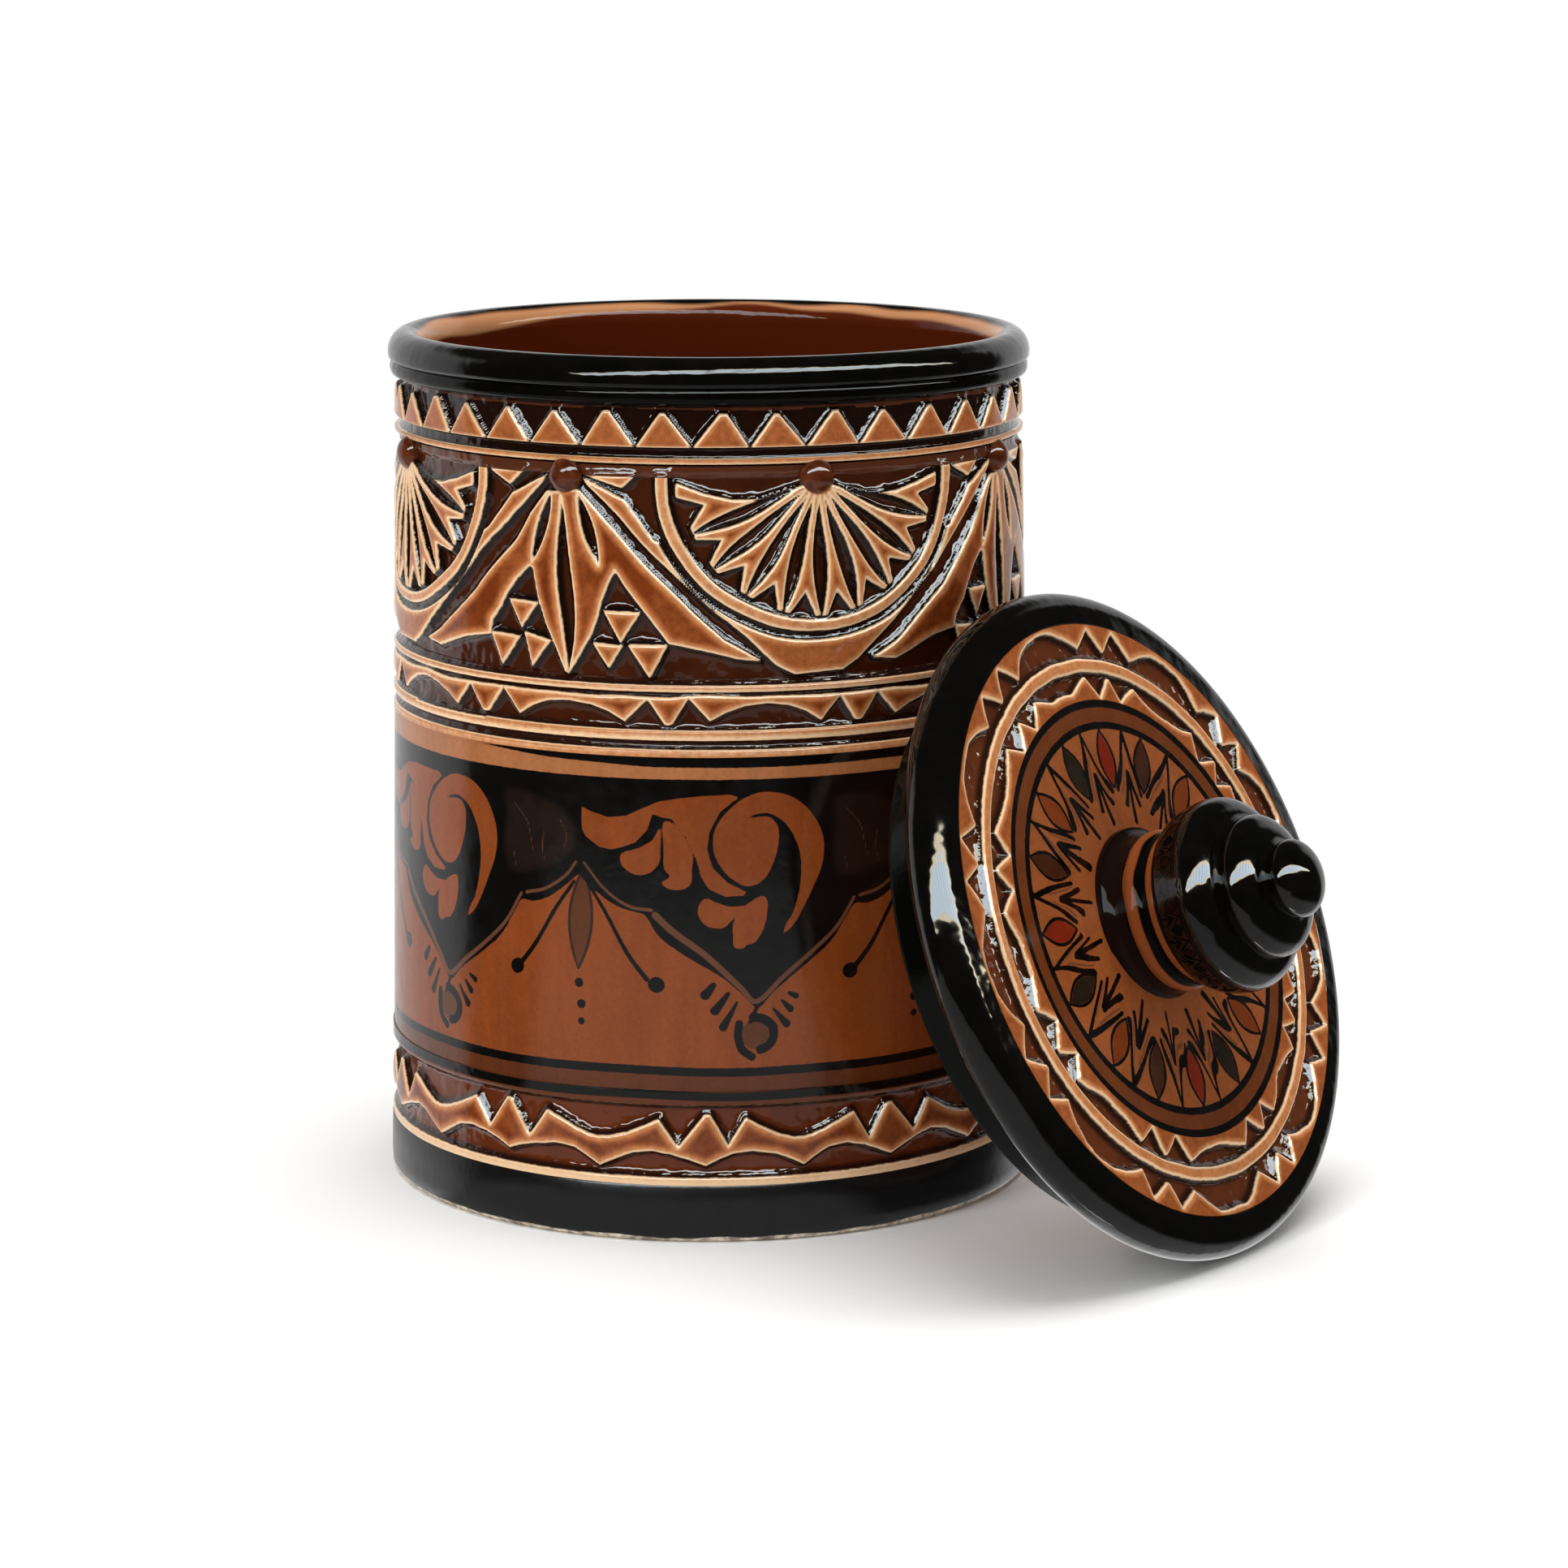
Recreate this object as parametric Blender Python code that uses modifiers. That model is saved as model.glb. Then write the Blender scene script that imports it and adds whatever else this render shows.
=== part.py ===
"""A lidded ceramic canister: a carved straight-sided jar and its lid, taken off and leaning on the jar.

Metres, +Z up. The origin is the centre of the jar's flat foot, and -Y is the front.
The jar and the lid's plate and knob are turned profiles. Chips are cut out of the jar's wall:
a row of teeth, and a frieze where fans of petals alternate with tents. Eight pellets of clay
are pressed into sockets round the shoulder. The lid stands on its rim and rests on the jar's wall
with the edge of its locating flange, so its place follows from the jar's and the lid's sizes.
"""

import math

import bmesh
import bpy
from mathutils import Matrix, Vector

# Jar: overall sizes
JAR_HEIGHT = 0.1397
FOOT_RADIUS = 0.0537
SHOULDER_RADIUS = 0.0513
WALL = 0.0049
FLOOR = 0.0065
INSIDE_CORNER_RADIUS = 0.0080
FOOT_CHAMFER = 0.0008
FOOT_SET_BACK = 0.0004

# Jar: rim, an upper roll over a flatter lower one
RIM_HEIGHT = 0.0072
RIM_OVERHANG = 0.0011
RIM_ROLL_HEIGHT = 0.0036
RIM_LOWER_ROLL_HEIGHT = 0.0024
RIM_GROOVE_DEPTH = 0.0004

# Jar: turned steps, as shares of the height from the foot to the rim and of the relief's depth
RELIEF_DEPTH = 0.0011
TURNED_STEP_SHARES = (
    (1.000, 0.0), (0.950, 0.0), (0.947, 0.9), (0.942, 0.9), (0.939, 0.1), (0.932, 0.1), (0.930, 0.8),
    (0.915, 0.8), (0.909, 0.0), (0.735, 0.0), (0.730, 0.6), (0.726, 0.0), (0.690, 0.0), (0.682, 0.8),
    (0.674, 0.8), (0.670, 0.1), (0.662, 0.8), (0.657, 0.5), (0.618, 0.5), (0.612, 0.0), (0.604, 0.7),
    (0.596, 0.0), (0.589, 0.2), (0.173, 0.2), (0.169, 0.0), (0.165, 0.5), (0.083, 0.5), (0.077, 0.0),
    (0.070, 0.3),
)

# Jar: the row of teeth under the rim
TOOTH_COUNT = 36
TOOTH_TURN_DEG = -7.0
TOOTH_HEIGHT = 0.0063
TOOTH_FOOT_GAP = 0.0009
TOOTH_TIP_WIDTH = 0.0016
TOOTH_NOTCH_DEPTH = 0.0010

# Jar: the frieze. A fan of petals hangs under every second pellet, inside a ring, and a tent under
# the others. Points, and the radii of the arcs, are shares of half the distance between fans and of
# the frieze's drop. Widths are shares of half the distance between fans.
FAN_COUNT = 4
FRIEZE_DROP = 0.0304
PETAL_COUNT = 9
PETAL_FIRST_DEG = -67.4
PETAL_PITCH_DEG = 17.2
PETAL_ROOT_SHARES = (0.113, 0.151)
PETAL_TIP_SHARES = (0.504, 0.678)
PETAL_WIDTH_SHARE = 0.061
FINGER_TIP_SHARES = (0.519, 0.697)
FINGER_NOTCH_SHARES = (0.438, 0.589)
FINGER_LAST_DEG = 79.0
RING_INNER_SHARES = (0.587, 0.730)
RING_OUTER_SHARES = (0.626, 0.783)
RING_GROOVE_SHARES = (0.663, 0.832)
RING_LAST_DEG = 68.0
RING_STEPS = 6
RING_CORNER_DEG = (76.0, 83.0, 90.0)
RING_CORNER_SHARES = ((0.690, 0.210), (0.766, 0.102), (0.906, 0.010))
WING_TOP_SHARES = ((0.115, 0.058), (0.220, 0.095), (0.343, 0.095), (0.453, 0.066), (0.539, 0.026))
SLOPE_UPPER_SHARES = ((0.913, 0.030), (0.715, 0.275), (0.465, 0.602), (0.169, 0.937))
SLOPE_LOWER_SHARES = ((0.945, 0.072), (0.750, 0.325), (0.495, 0.668), (0.232, 0.930))
TENT_BODY_SHARES = ((0.196, 0.500), (0.152, 0.632), (0.108, 0.812), (0.034, 0.995))
TENT_SLOPE_SHARES = ((0.222, 0.500), (0.301, 0.632), (0.404, 0.812), (0.421, 0.995))
TENT_FOOT_SHARES = ((0.405, 0.835), (0.600, 0.901), (0.759, 0.944))
TENT_CUT_SHARES = (((0.058, 0.100), (0.145, 0.447)), ((-0.058, 0.100), (-0.145, 0.447)), ((-0.010, 0.120), (0.018, 0.960)))
TENT_CUT_WIDTH_SHARE = 0.054
LEAF_WIDEST_SHARE = 0.62
LEAF_RISE_SHARE = 0.40

# Jar: clay pellets round the shoulder
BEAD_COUNT = 8
BEAD_TURN_DEG = 20.0
BEAD_RADIUS = 0.0028
BEAD_FLATTEN_SHARE = 0.78
BEAD_HEIGHT_SHARE = 0.914
BEAD_SINK = 0.0008

# Lid: plate, rim roll and locating flange
LID_RIM_RADIUS = 0.05424
LID_ROLL_RADIUS = 0.00364
LID_PLATE_RISE = 0.0039
LID_PLATE_THICKNESS = 0.0059
LID_BLACK_RIM_INNER_RADIUS = 0.0480
LID_RING_OUTER_RADIUS = 0.0423
LID_RING_INNER_RADIUS = 0.0403
LID_DISC_RADIUS = 0.0357
LID_CARVING_DEPTH = 0.0009
LID_CARVING_SLOPE = 0.0005
FLANGE_DEPTH = 0.0089
FLANGE_WALL = 0.0042
FLANGE_EDGE_RADIUS = 0.0010
FLANGE_CLEARANCE = 0.0009

# Lid: how it leans on the jar
LEAN_DEG = 23.0
LEAN_TURN_DEG = 55.4

# Knob: heights are above the lid's plate
KNOB_HEIGHT = 0.0306
KNOB_TIP_RADIUS = 0.00615
KNOB_TIP_HEIGHT = 0.0270
KNOB_MIDDLE_RADIUS = 0.0113
KNOB_MIDDLE_HEIGHT = 0.0216
KNOB_MIDDLE_RISE = 0.0030
KNOB_BELLY_RADIUS = 0.0154
KNOB_BELLY_HEIGHT = 0.0158
KNOB_BELLY_RISE = 0.0036
KNOB_NECK_RADIUS = 0.0120
KNOB_NECK_HEIGHT = 0.0081
KNOB_GROOVE_RADIUS = 0.0120
KNOB_GROOVE_TOP = 0.0066
KNOB_GROOVE_BOTTOM = 0.0053
KNOB_COLLAR_RADIUS = 0.0129
KNOB_COLLAR_TOP = 0.0045
KNOB_COVE_RADIUS = 0.0145
KNOB_COVE_HEIGHT = 0.0024
KNOB_LEAN_DEG = 3.0

# Between pieces, and past the ends of cuts
SEAT_GAP = 0.0003
OVERRUN = 0.0020
MERGE_DISTANCE = 0.00002

# Facets round each turned piece
JAR_SIDES = 48
LID_SIDES = 44
KNOB_SIDES = 20
BEAD_SIDES = 10
BEAD_RINGS = 6
ARC_STEPS = 4
SMOOTH_ANGLE_DEG = 32.0

WALL_TOP = JAR_HEIGHT - RIM_HEIGHT
MOUTH_RADIUS = SHOULDER_RADIUS - WALL
FLANGE_RADIUS = MOUTH_RADIUS - FLANGE_CLEARANCE
FLANGE_BOTTOM = LID_ROLL_RADIUS + FLANGE_DEPTH
LID_ROLL_CENTRE_RADIUS = LID_RIM_RADIUS - LID_ROLL_RADIUS


def wall_radius(height):
    """The jar's outer radius at a height: the wall draws in a little towards the rim."""
    return FOOT_RADIUS + (SHOULDER_RADIUS - FOOT_RADIUS) * height / WALL_TOP


def arc(centre, radii, start_deg, end_deg, steps=ARC_STEPS):
    """Points along an elliptical arc of a profile, ends included."""
    points = []
    for step in range(steps + 1):
        angle = math.radians(start_deg + (end_deg - start_deg) * step / steps)
        points.append((centre[0] + radii[0] * math.cos(angle), centre[1] + radii[1] * math.sin(angle)))
    return points


def clear_scene():
    for item in list(bpy.data.objects):
        bpy.data.objects.remove(item, do_unlink=True)


def collection(name):
    group = bpy.data.collections.new(name)
    bpy.context.scene.collection.children.link(group)
    return group


def glaze(name, colour, roughness):
    material = bpy.data.materials.new(name)
    material.use_nodes = True
    shader = material.node_tree.nodes["Principled BSDF"]
    shader.inputs["Base Color"].default_value = (*colour, 1.0)
    shader.inputs["Roughness"].default_value = roughness
    shader.inputs["Metallic"].default_value = 0.0
    return material


def add_object(name, mesh, group, material=None):
    item = bpy.data.objects.new(name, mesh)
    group.objects.link(item)
    if material is not None:
        mesh.materials.append(material)
    return item


def add_cutter(name, mesh, group):
    item = add_object(name, mesh, group)
    item.hide_render = True
    item.display_type = "WIRE"
    return item


def mesh_from(name, shape):
    """Turns a bmesh into mesh data and frees it."""
    data = bpy.data.meshes.new(name)
    shape.to_mesh(data)
    shape.free()
    return data


def turned(name, profile, sides, group, material):
    """A solid of revolution about Z from a profile that runs down its outer side at +X."""
    mesh = bpy.data.meshes.new(name)
    vertices = [(x, 0.0, z) for x, z in profile]
    edges = [(i, i + 1) for i in range(len(vertices) - 1)]
    mesh.from_pydata(vertices, edges, [])
    item = add_object(name, mesh, group, material)
    screw = item.modifiers.new("turn", "SCREW")
    screw.axis = "Z"
    screw.steps = sides
    screw.render_steps = sides
    screw.use_merge_vertices = True
    screw.merge_threshold = MERGE_DISTANCE
    screw.use_smooth_shade = True
    return item


def cut(item, cutter):
    boolean = item.modifiers.new("cut " + cutter.name, "BOOLEAN")
    boolean.operation = "DIFFERENCE"
    boolean.solver = "EXACT"
    boolean.object = cutter


def shade(item):
    """Applies the modifiers and shades the result smooth, with its real edges kept sharp."""
    graph = bpy.context.evaluated_depsgraph_get()
    mesh = bpy.data.meshes.new_from_object(item.evaluated_get(graph))
    item.modifiers.clear()
    item.data = mesh
    mesh.shade_smooth()
    mesh.set_sharp_from_angle(angle=math.radians(SMOOTH_ANGLE_DEG))


def rim_profile():
    """The jar's rim, from the mouth's inner side over the crest to the top of the wall."""
    half_width = (SHOULDER_RADIUS + RIM_OVERHANG - MOUTH_RADIUS) / 2
    crest_radius = MOUTH_RADIUS + half_width
    roll_centre = JAR_HEIGHT - RIM_ROLL_HEIGHT
    points = arc((crest_radius, roll_centre), (half_width, RIM_ROLL_HEIGHT), 180.0, -8.0, 2 * ARC_STEPS)
    lower_top = WALL_TOP + RIM_LOWER_ROLL_HEIGHT
    lower_radius = SHOULDER_RADIUS + RIM_OVERHANG - RIM_GROOVE_DEPTH
    points.append((lower_radius - RIM_GROOVE_DEPTH, lower_top))
    lower_centre = (lower_radius - RIM_GROOVE_DEPTH, (WALL_TOP + lower_top) / 2)
    points += arc(lower_centre, (RIM_GROOVE_DEPTH, RIM_LOWER_ROLL_HEIGHT / 2), 50.0, -70.0, 3)
    return points


def jar_profile():
    """Half section of the jar: up the inside, over the rim, down the wall and under the foot."""
    floor_radius = FOOT_RADIUS - WALL
    corner_centre = (floor_radius - INSIDE_CORNER_RADIUS, FLOOR + INSIDE_CORNER_RADIUS)
    points = [(0.0, FLOOR)]
    points += arc(corner_centre, (INSIDE_CORNER_RADIUS, INSIDE_CORNER_RADIUS), -90.0, 0.0)
    points += rim_profile()
    for height_share, depth_share in TURNED_STEP_SHARES:
        height = WALL_TOP * height_share
        points.append((wall_radius(height) - RELIEF_DEPTH * depth_share, height))
    foot_radius = FOOT_RADIUS - FOOT_SET_BACK
    points += [(foot_radius, FOOT_CHAMFER), (foot_radius - FOOT_CHAMFER, 0.0), (0.0, 0.0)]
    return points


def tooth_notches(group):
    """The V-shaped chips between the teeth, as one cutter of separate wedges round the jar."""
    pitch = math.tau / TOOTH_COUNT
    foot_height = WALL_TOP - TOOTH_HEIGHT
    top_half = (SHOULDER_RADIUS * pitch - TOOTH_TIP_WIDTH) / 2
    foot_half = TOOTH_FOOT_GAP / 2
    shape = bmesh.new()
    for index in range(TOOTH_COUNT):
        wedge = bmesh.ops.create_cube(shape, size=1.0)["verts"]
        for corner in wedge:
            is_top = corner.co.z > 0.0
            height = WALL_TOP if is_top else foot_height
            half = top_half if is_top else foot_half
            inner = wall_radius(height) - TOOTH_NOTCH_DEPTH
            outer = wall_radius(height) + OVERRUN
            depth = outer if corner.co.x > 0.0 else inner
            corner.co = Vector((depth, math.copysign(half, corner.co.y), height))
        turn = math.radians(TOOTH_TURN_DEG - 90.0) + pitch * (index + 0.5)
        bmesh.ops.rotate(shape, verts=wedge, cent=(0.0, 0.0, 0.0), matrix=Matrix.Rotation(turn, 3, "Z"))
    return add_cutter("tooth_notches", mesh_from("tooth_notches", shape), group)


def half_pitch():
    """Half the distance between fans, along the wall at the frieze's foot."""
    return math.pi / FAN_COUNT * wall_radius(WALL_TOP * BEAD_HEIGHT_SHARE - FRIEZE_DROP)


def on_wall(turn, along, below, depth):
    """A point of the frieze, by its distance along the wall and below the pellets, and its depth."""
    height = WALL_TOP * BEAD_HEIGHT_SHARE - below
    angle = turn + along / half_pitch() * math.pi / FAN_COUNT
    radius = wall_radius(height) - depth
    return Vector((radius * math.cos(angle), radius * math.sin(angle), height))


def band_chip(shape, turn, first_line, second_line):
    """A chip between two lines of as many points, with its floor the relief's depth down."""
    rings = []
    for first, second in zip(first_line, second_line):
        corners = ((first, RELIEF_DEPTH), (second, RELIEF_DEPTH), (second, -OVERRUN), (first, -OVERRUN))
        rings.append([shape.verts.new(on_wall(turn, *place, depth)) for place, depth in corners])
    for ring, following in zip(rings, rings[1:]):
        for side in range(len(ring)):
            beside = (side + 1) % len(ring)
            shape.faces.new((ring[side], following[side], following[beside], ring[beside]))
    shape.faces.new(rings[0])
    shape.faces.new(rings[-1])


def leaf_chip(shape, turn, start, end, width):
    """A pointed chip that runs down to one deep point from four corners on the wall."""
    middle = Vector(start).lerp(Vector(end), LEAF_WIDEST_SHARE)
    run = (Vector(end) - Vector(start)).normalized()
    side = Vector((-run.y, run.x)) * width / 2
    growth = 1 + LEAF_RISE_SHARE
    rise = RELIEF_DEPTH * LEAF_RISE_SHARE
    deep = shape.verts.new(on_wall(turn, *middle, RELIEF_DEPTH))
    crown = shape.verts.new(on_wall(turn, *middle, -OVERRUN))
    corners = []
    for corner in (Vector(start), middle + side, Vector(end), middle - side):
        corners.append(shape.verts.new(on_wall(turn, *(middle + (corner - middle) * growth), -rise)))
    for corner, following in zip(corners, corners[1:] + corners[:1]):
        shape.faces.new((corner, following, deep))
        shape.faces.new((following, corner, crown))


def frieze_places(shares, flip=1.0):
    """Lengths along the wall and below the pellets from shares of the frieze's own sizes."""
    return [(flip * across * half_pitch(), down * FRIEZE_DROP) for across, down in shares]


def around(radius_shares, angle_deg):
    """A point at an angle from straight down, on an arc about a pellet."""
    angle = math.radians(angle_deg)
    return (radius_shares[0] * math.sin(angle), radius_shares[1] * math.cos(angle))


def fan_recess(shape, turn):
    """The sunk ground between the petals' fingers and the ring round the fan."""
    fingers = [around(FINGER_NOTCH_SHARES, -FINGER_LAST_DEG)]
    ring = [around(RING_INNER_SHARES, -FINGER_LAST_DEG)]
    for index in range(2 * PETAL_COUNT - 1):
        angle = PETAL_FIRST_DEG + PETAL_PITCH_DEG * index / 2
        fingers.append(around(FINGER_NOTCH_SHARES if index % 2 else FINGER_TIP_SHARES, angle))
        ring.append(around(RING_INNER_SHARES, angle))
    fingers.append(around(FINGER_NOTCH_SHARES, FINGER_LAST_DEG))
    ring.append(around(RING_INNER_SHARES, FINGER_LAST_DEG))
    band_chip(shape, turn, frieze_places(fingers), frieze_places(ring))


def ring_groove(shape, turn):
    """The groove outside the ring. It widens into a corner of sunk ground at each end."""
    inner = []
    outer = []
    for step in range(RING_STEPS + 1):
        angle = RING_LAST_DEG * (2 * step / RING_STEPS - 1)
        inner.append(around(RING_OUTER_SHARES, angle))
        outer.append(around(RING_GROOVE_SHARES, angle))
    for angle, (across, down) in zip(RING_CORNER_DEG, RING_CORNER_SHARES):
        inner.append(around(RING_OUTER_SHARES, angle))
        outer.append((across, down))
        inner.insert(0, around(RING_OUTER_SHARES, -angle))
        outer.insert(0, (-across, down))
    band_chip(shape, turn, frieze_places(inner), frieze_places(outer))


def sunk_ground(group):
    """The frieze's flat-floored chips."""
    shape = bmesh.new()
    for index in range(FAN_COUNT):
        turn = math.radians(BEAD_TURN_DEG - 90.0) + math.tau * index / FAN_COUNT
        tent_turn = turn + math.pi / FAN_COUNT
        fan_recess(shape, turn)
        ring_groove(shape, turn)
        for flip in (1.0, -1.0):
            wing = frieze_places(WING_TOP_SHARES, flip)
            band_chip(shape, turn, [(along, 0.0) for along, _ in wing], wing)
            band_chip(shape, turn, frieze_places(SLOPE_UPPER_SHARES, flip), frieze_places(SLOPE_LOWER_SHARES, flip))
            band_chip(shape, tent_turn, frieze_places(TENT_BODY_SHARES, flip), frieze_places(TENT_SLOPE_SHARES, flip))
    bmesh.ops.recalc_face_normals(shape, faces=shape.faces)
    return add_cutter("sunk_ground", mesh_from("sunk_ground", shape), group)


def pointed_chips(group):
    """The petals of the fans, the three cuts down each tent, and the low ground at its feet."""
    shape = bmesh.new()
    for index in range(FAN_COUNT):
        turn = math.radians(BEAD_TURN_DEG - 90.0) + math.tau * index / FAN_COUNT
        for petal in range(PETAL_COUNT):
            angle = PETAL_FIRST_DEG + PETAL_PITCH_DEG * petal
            root, tip = frieze_places((around(PETAL_ROOT_SHARES, angle), around(PETAL_TIP_SHARES, angle)))
            leaf_chip(shape, turn, root, tip, PETAL_WIDTH_SHARE * half_pitch())
        tent_turn = turn + math.pi / FAN_COUNT
        for shares in TENT_CUT_SHARES:
            start, end = frieze_places(shares)
            leaf_chip(shape, tent_turn, start, end, TENT_CUT_WIDTH_SHARE * half_pitch())
        for flip in (1.0, -1.0):
            foot = frieze_places(TENT_FOOT_SHARES, flip)
            band_chip(shape, tent_turn, foot, [(along, FRIEZE_DROP) for along, _ in foot])
    bmesh.ops.recalc_face_normals(shape, faces=shape.faces)
    return add_cutter("pointed_chips", mesh_from("pointed_chips", shape), group)


def pellet_mesh(name, gap):
    """A flattened ball with its short axis along X. With a gap it is the cutter of its socket."""
    radius = BEAD_RADIUS + gap
    depth = BEAD_RADIUS * BEAD_FLATTEN_SHARE + gap
    shape = bmesh.new()
    bmesh.ops.create_uvsphere(shape, u_segments=BEAD_SIDES, v_segments=BEAD_RINGS, radius=radius)
    bmesh.ops.rotate(shape, verts=shape.verts, matrix=Matrix.Rotation(math.pi / 2, 3, "Y"))
    bmesh.ops.scale(shape, verts=shape.verts, vec=(depth / radius, 1.0, 1.0))
    return mesh_from(name, shape)


def place_pellet(item, index):
    turn = math.radians(BEAD_TURN_DEG - 90.0) + math.tau * index / BEAD_COUNT
    height = WALL_TOP * BEAD_HEIGHT_SHARE
    seat = wall_radius(height) - BEAD_SINK
    item.location = (seat * math.cos(turn), seat * math.sin(turn), height)
    item.rotation_euler = (0.0, 0.0, turn)


def build_jar(group, cutters):
    carved_glaze = glaze("jar_carved_glaze", (0.36, 0.14, 0.045), 0.16)
    jar = turned("jar_body", jar_profile(), JAR_SIDES, group, carved_glaze)
    for cutter in (tooth_notches(cutters), sunk_ground(cutters), pointed_chips(cutters)):
        cut(jar, cutter)
    return jar


def build_beads(group, cutters, jar):
    bead_mesh = pellet_mesh("bead", 0.0)
    bead_mesh.materials.append(glaze("bead_glaze", (0.10, 0.035, 0.012), 0.12))
    bead_mesh.shade_smooth()
    socket_mesh = pellet_mesh("socket", SEAT_GAP)
    for index in range(BEAD_COUNT):
        bead = add_object("jar_bead_%d" % (index + 1), bead_mesh, group)
        place_pellet(bead, index)
        bead.parent = jar
        socket = add_cutter("bead_socket_%d" % (index + 1), socket_mesh, cutters)
        place_pellet(socket, index)
        cut(jar, socket)


def lid_profile():
    """Half section of the lid about its own axis. Height zero is the middle of the rim roll."""
    top = LID_PLATE_RISE
    carved = top - LID_CARVING_DEPTH
    slope = LID_CARVING_SLOPE
    points = [(0.0, top), (LID_DISC_RADIUS, top), (LID_DISC_RADIUS + slope, carved)]
    points += [(LID_RING_INNER_RADIUS - slope, carved), (LID_RING_INNER_RADIUS, top)]
    points += [(LID_RING_OUTER_RADIUS, top), (LID_RING_OUTER_RADIUS + slope, carved)]
    points += [(LID_BLACK_RIM_INNER_RADIUS - slope, carved), (LID_BLACK_RIM_INNER_RADIUS, top)]
    roll = (LID_ROLL_RADIUS, LID_ROLL_RADIUS)
    points += arc((LID_ROLL_CENTRE_RADIUS, 0.0), roll, 90.0, -90.0, 2 * ARC_STEPS)
    edge = (FLANGE_EDGE_RADIUS, FLANGE_EDGE_RADIUS)
    edge_height = FLANGE_EDGE_RADIUS - FLANGE_BOTTOM
    bore_radius = FLANGE_RADIUS - FLANGE_WALL
    ceiling = top - LID_PLATE_THICKNESS
    points.append((FLANGE_RADIUS, -LID_ROLL_RADIUS))
    points += arc((FLANGE_RADIUS - FLANGE_EDGE_RADIUS, edge_height), edge, 0.0, -90.0, 3)
    points += arc((bore_radius + FLANGE_EDGE_RADIUS, edge_height), edge, -90.0, -180.0, 3)
    points += [(bore_radius, ceiling - FLANGE_EDGE_RADIUS), (bore_radius - FLANGE_EDGE_RADIUS, ceiling)]
    points.append((0.0, ceiling))
    return points


def knob_profile():
    """Half section of the knob: three rounded steps over a neck, a ridged collar and a cove."""
    points = [(0.0, KNOB_HEIGHT)]
    tip = (KNOB_TIP_RADIUS, KNOB_HEIGHT - KNOB_TIP_HEIGHT)
    points += arc((0.0, KNOB_TIP_HEIGHT), tip, 70.0, -35.0)
    middle = (KNOB_MIDDLE_RADIUS - KNOB_TIP_RADIUS, KNOB_MIDDLE_RISE)
    points += arc((KNOB_TIP_RADIUS, KNOB_MIDDLE_HEIGHT), middle, 75.0, -50.0)
    belly = (KNOB_BELLY_RADIUS - KNOB_MIDDLE_RADIUS, KNOB_BELLY_RISE)
    points += arc((KNOB_MIDDLE_RADIUS, KNOB_BELLY_HEIGHT), belly, 75.0, 0.0)
    under = (KNOB_BELLY_RADIUS - KNOB_NECK_RADIUS, KNOB_BELLY_HEIGHT - KNOB_NECK_HEIGHT)
    points += arc((KNOB_NECK_RADIUS, KNOB_BELLY_HEIGHT), under, -20.0, -90.0)
    points += [(KNOB_GROOVE_RADIUS, KNOB_GROOVE_TOP), (KNOB_GROOVE_RADIUS, KNOB_GROOVE_BOTTOM)]
    points += [(KNOB_COLLAR_RADIUS, KNOB_COLLAR_TOP)]
    cove = (KNOB_COVE_RADIUS - KNOB_COLLAR_RADIUS, KNOB_COVE_HEIGHT)
    points += arc((KNOB_COVE_RADIUS, KNOB_COVE_HEIGHT), cove, 180.0, 270.0, 3)
    points += [(KNOB_COVE_RADIUS, -OVERRUN), (0.0, -OVERRUN)]
    return points


def lid_axis(group):
    """The empty that carries the lid: its local Z is the lid's own axis, and its Y runs up the face."""
    lean = math.radians(LEAN_DEG)
    turn = math.radians(LEAN_TURN_DEG)
    axis_height = LID_ROLL_CENTRE_RADIUS * math.cos(lean) + LID_ROLL_RADIUS
    reach = FLANGE_RADIUS - FLANGE_EDGE_RADIUS
    depth = FLANGE_BOTTOM - FLANGE_EDGE_RADIUS
    touch_height = axis_height + reach * math.cos(lean) - depth * math.sin(lean)
    edge_centre = wall_radius(touch_height) + SEAT_GAP + FLANGE_EDGE_RADIUS
    distance = edge_centre + reach * math.sin(lean) + depth * math.cos(lean)
    axis = bpy.data.objects.new("lid_axis", None)
    group.objects.link(axis)
    axis.location = (distance * math.sin(turn), -distance * math.cos(turn), axis_height)
    axis.rotation_euler = (math.radians(90.0) - lean, 0.0, turn)
    return axis


def knob_trim(group):
    """A plug that trims the leaning knob's foot flat, a seat's gap above the plate."""
    radius = KNOB_BELLY_RADIUS + OVERRUN
    height = 3 * OVERRUN
    shape = bmesh.new()
    bmesh.ops.create_cone(shape, cap_ends=True, segments=KNOB_SIDES, radius1=radius, radius2=radius, depth=height)
    trim = add_cutter("knob_trim", mesh_from("knob_trim", shape), group)
    trim.location = (0.0, 0.0, LID_PLATE_RISE + SEAT_GAP - height / 2)
    return trim


def build_lid(group, cutters):
    axis = lid_axis(group)
    plate_glaze = glaze("lid_glaze", (0.33, 0.12, 0.04), 0.15)
    plate = turned("lid_plate", lid_profile(), LID_SIDES, group, plate_glaze)
    knob_glaze = glaze("knob_black_glaze", (0.006, 0.006, 0.006), 0.05)
    knob = turned("lid_knob", knob_profile(), KNOB_SIDES, group, knob_glaze)
    knob.location = (0.0, 0.0, LID_PLATE_RISE)
    knob.rotation_euler = (math.radians(KNOB_LEAN_DEG), 0.0, 0.0)
    trim = knob_trim(cutters)
    for item in (plate, knob, trim):
        item.parent = axis
    cut(knob, trim)
    return plate, knob


def main():
    clear_scene()
    group = collection("lidded_canister")
    cutters = collection("cutters")
    jar = build_jar(group, cutters)
    build_beads(group, cutters, jar)
    plate, knob = build_lid(group, cutters)
    bpy.context.view_layer.update()
    for item in (jar, plate, knob):
        shade(item)


main()
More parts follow.
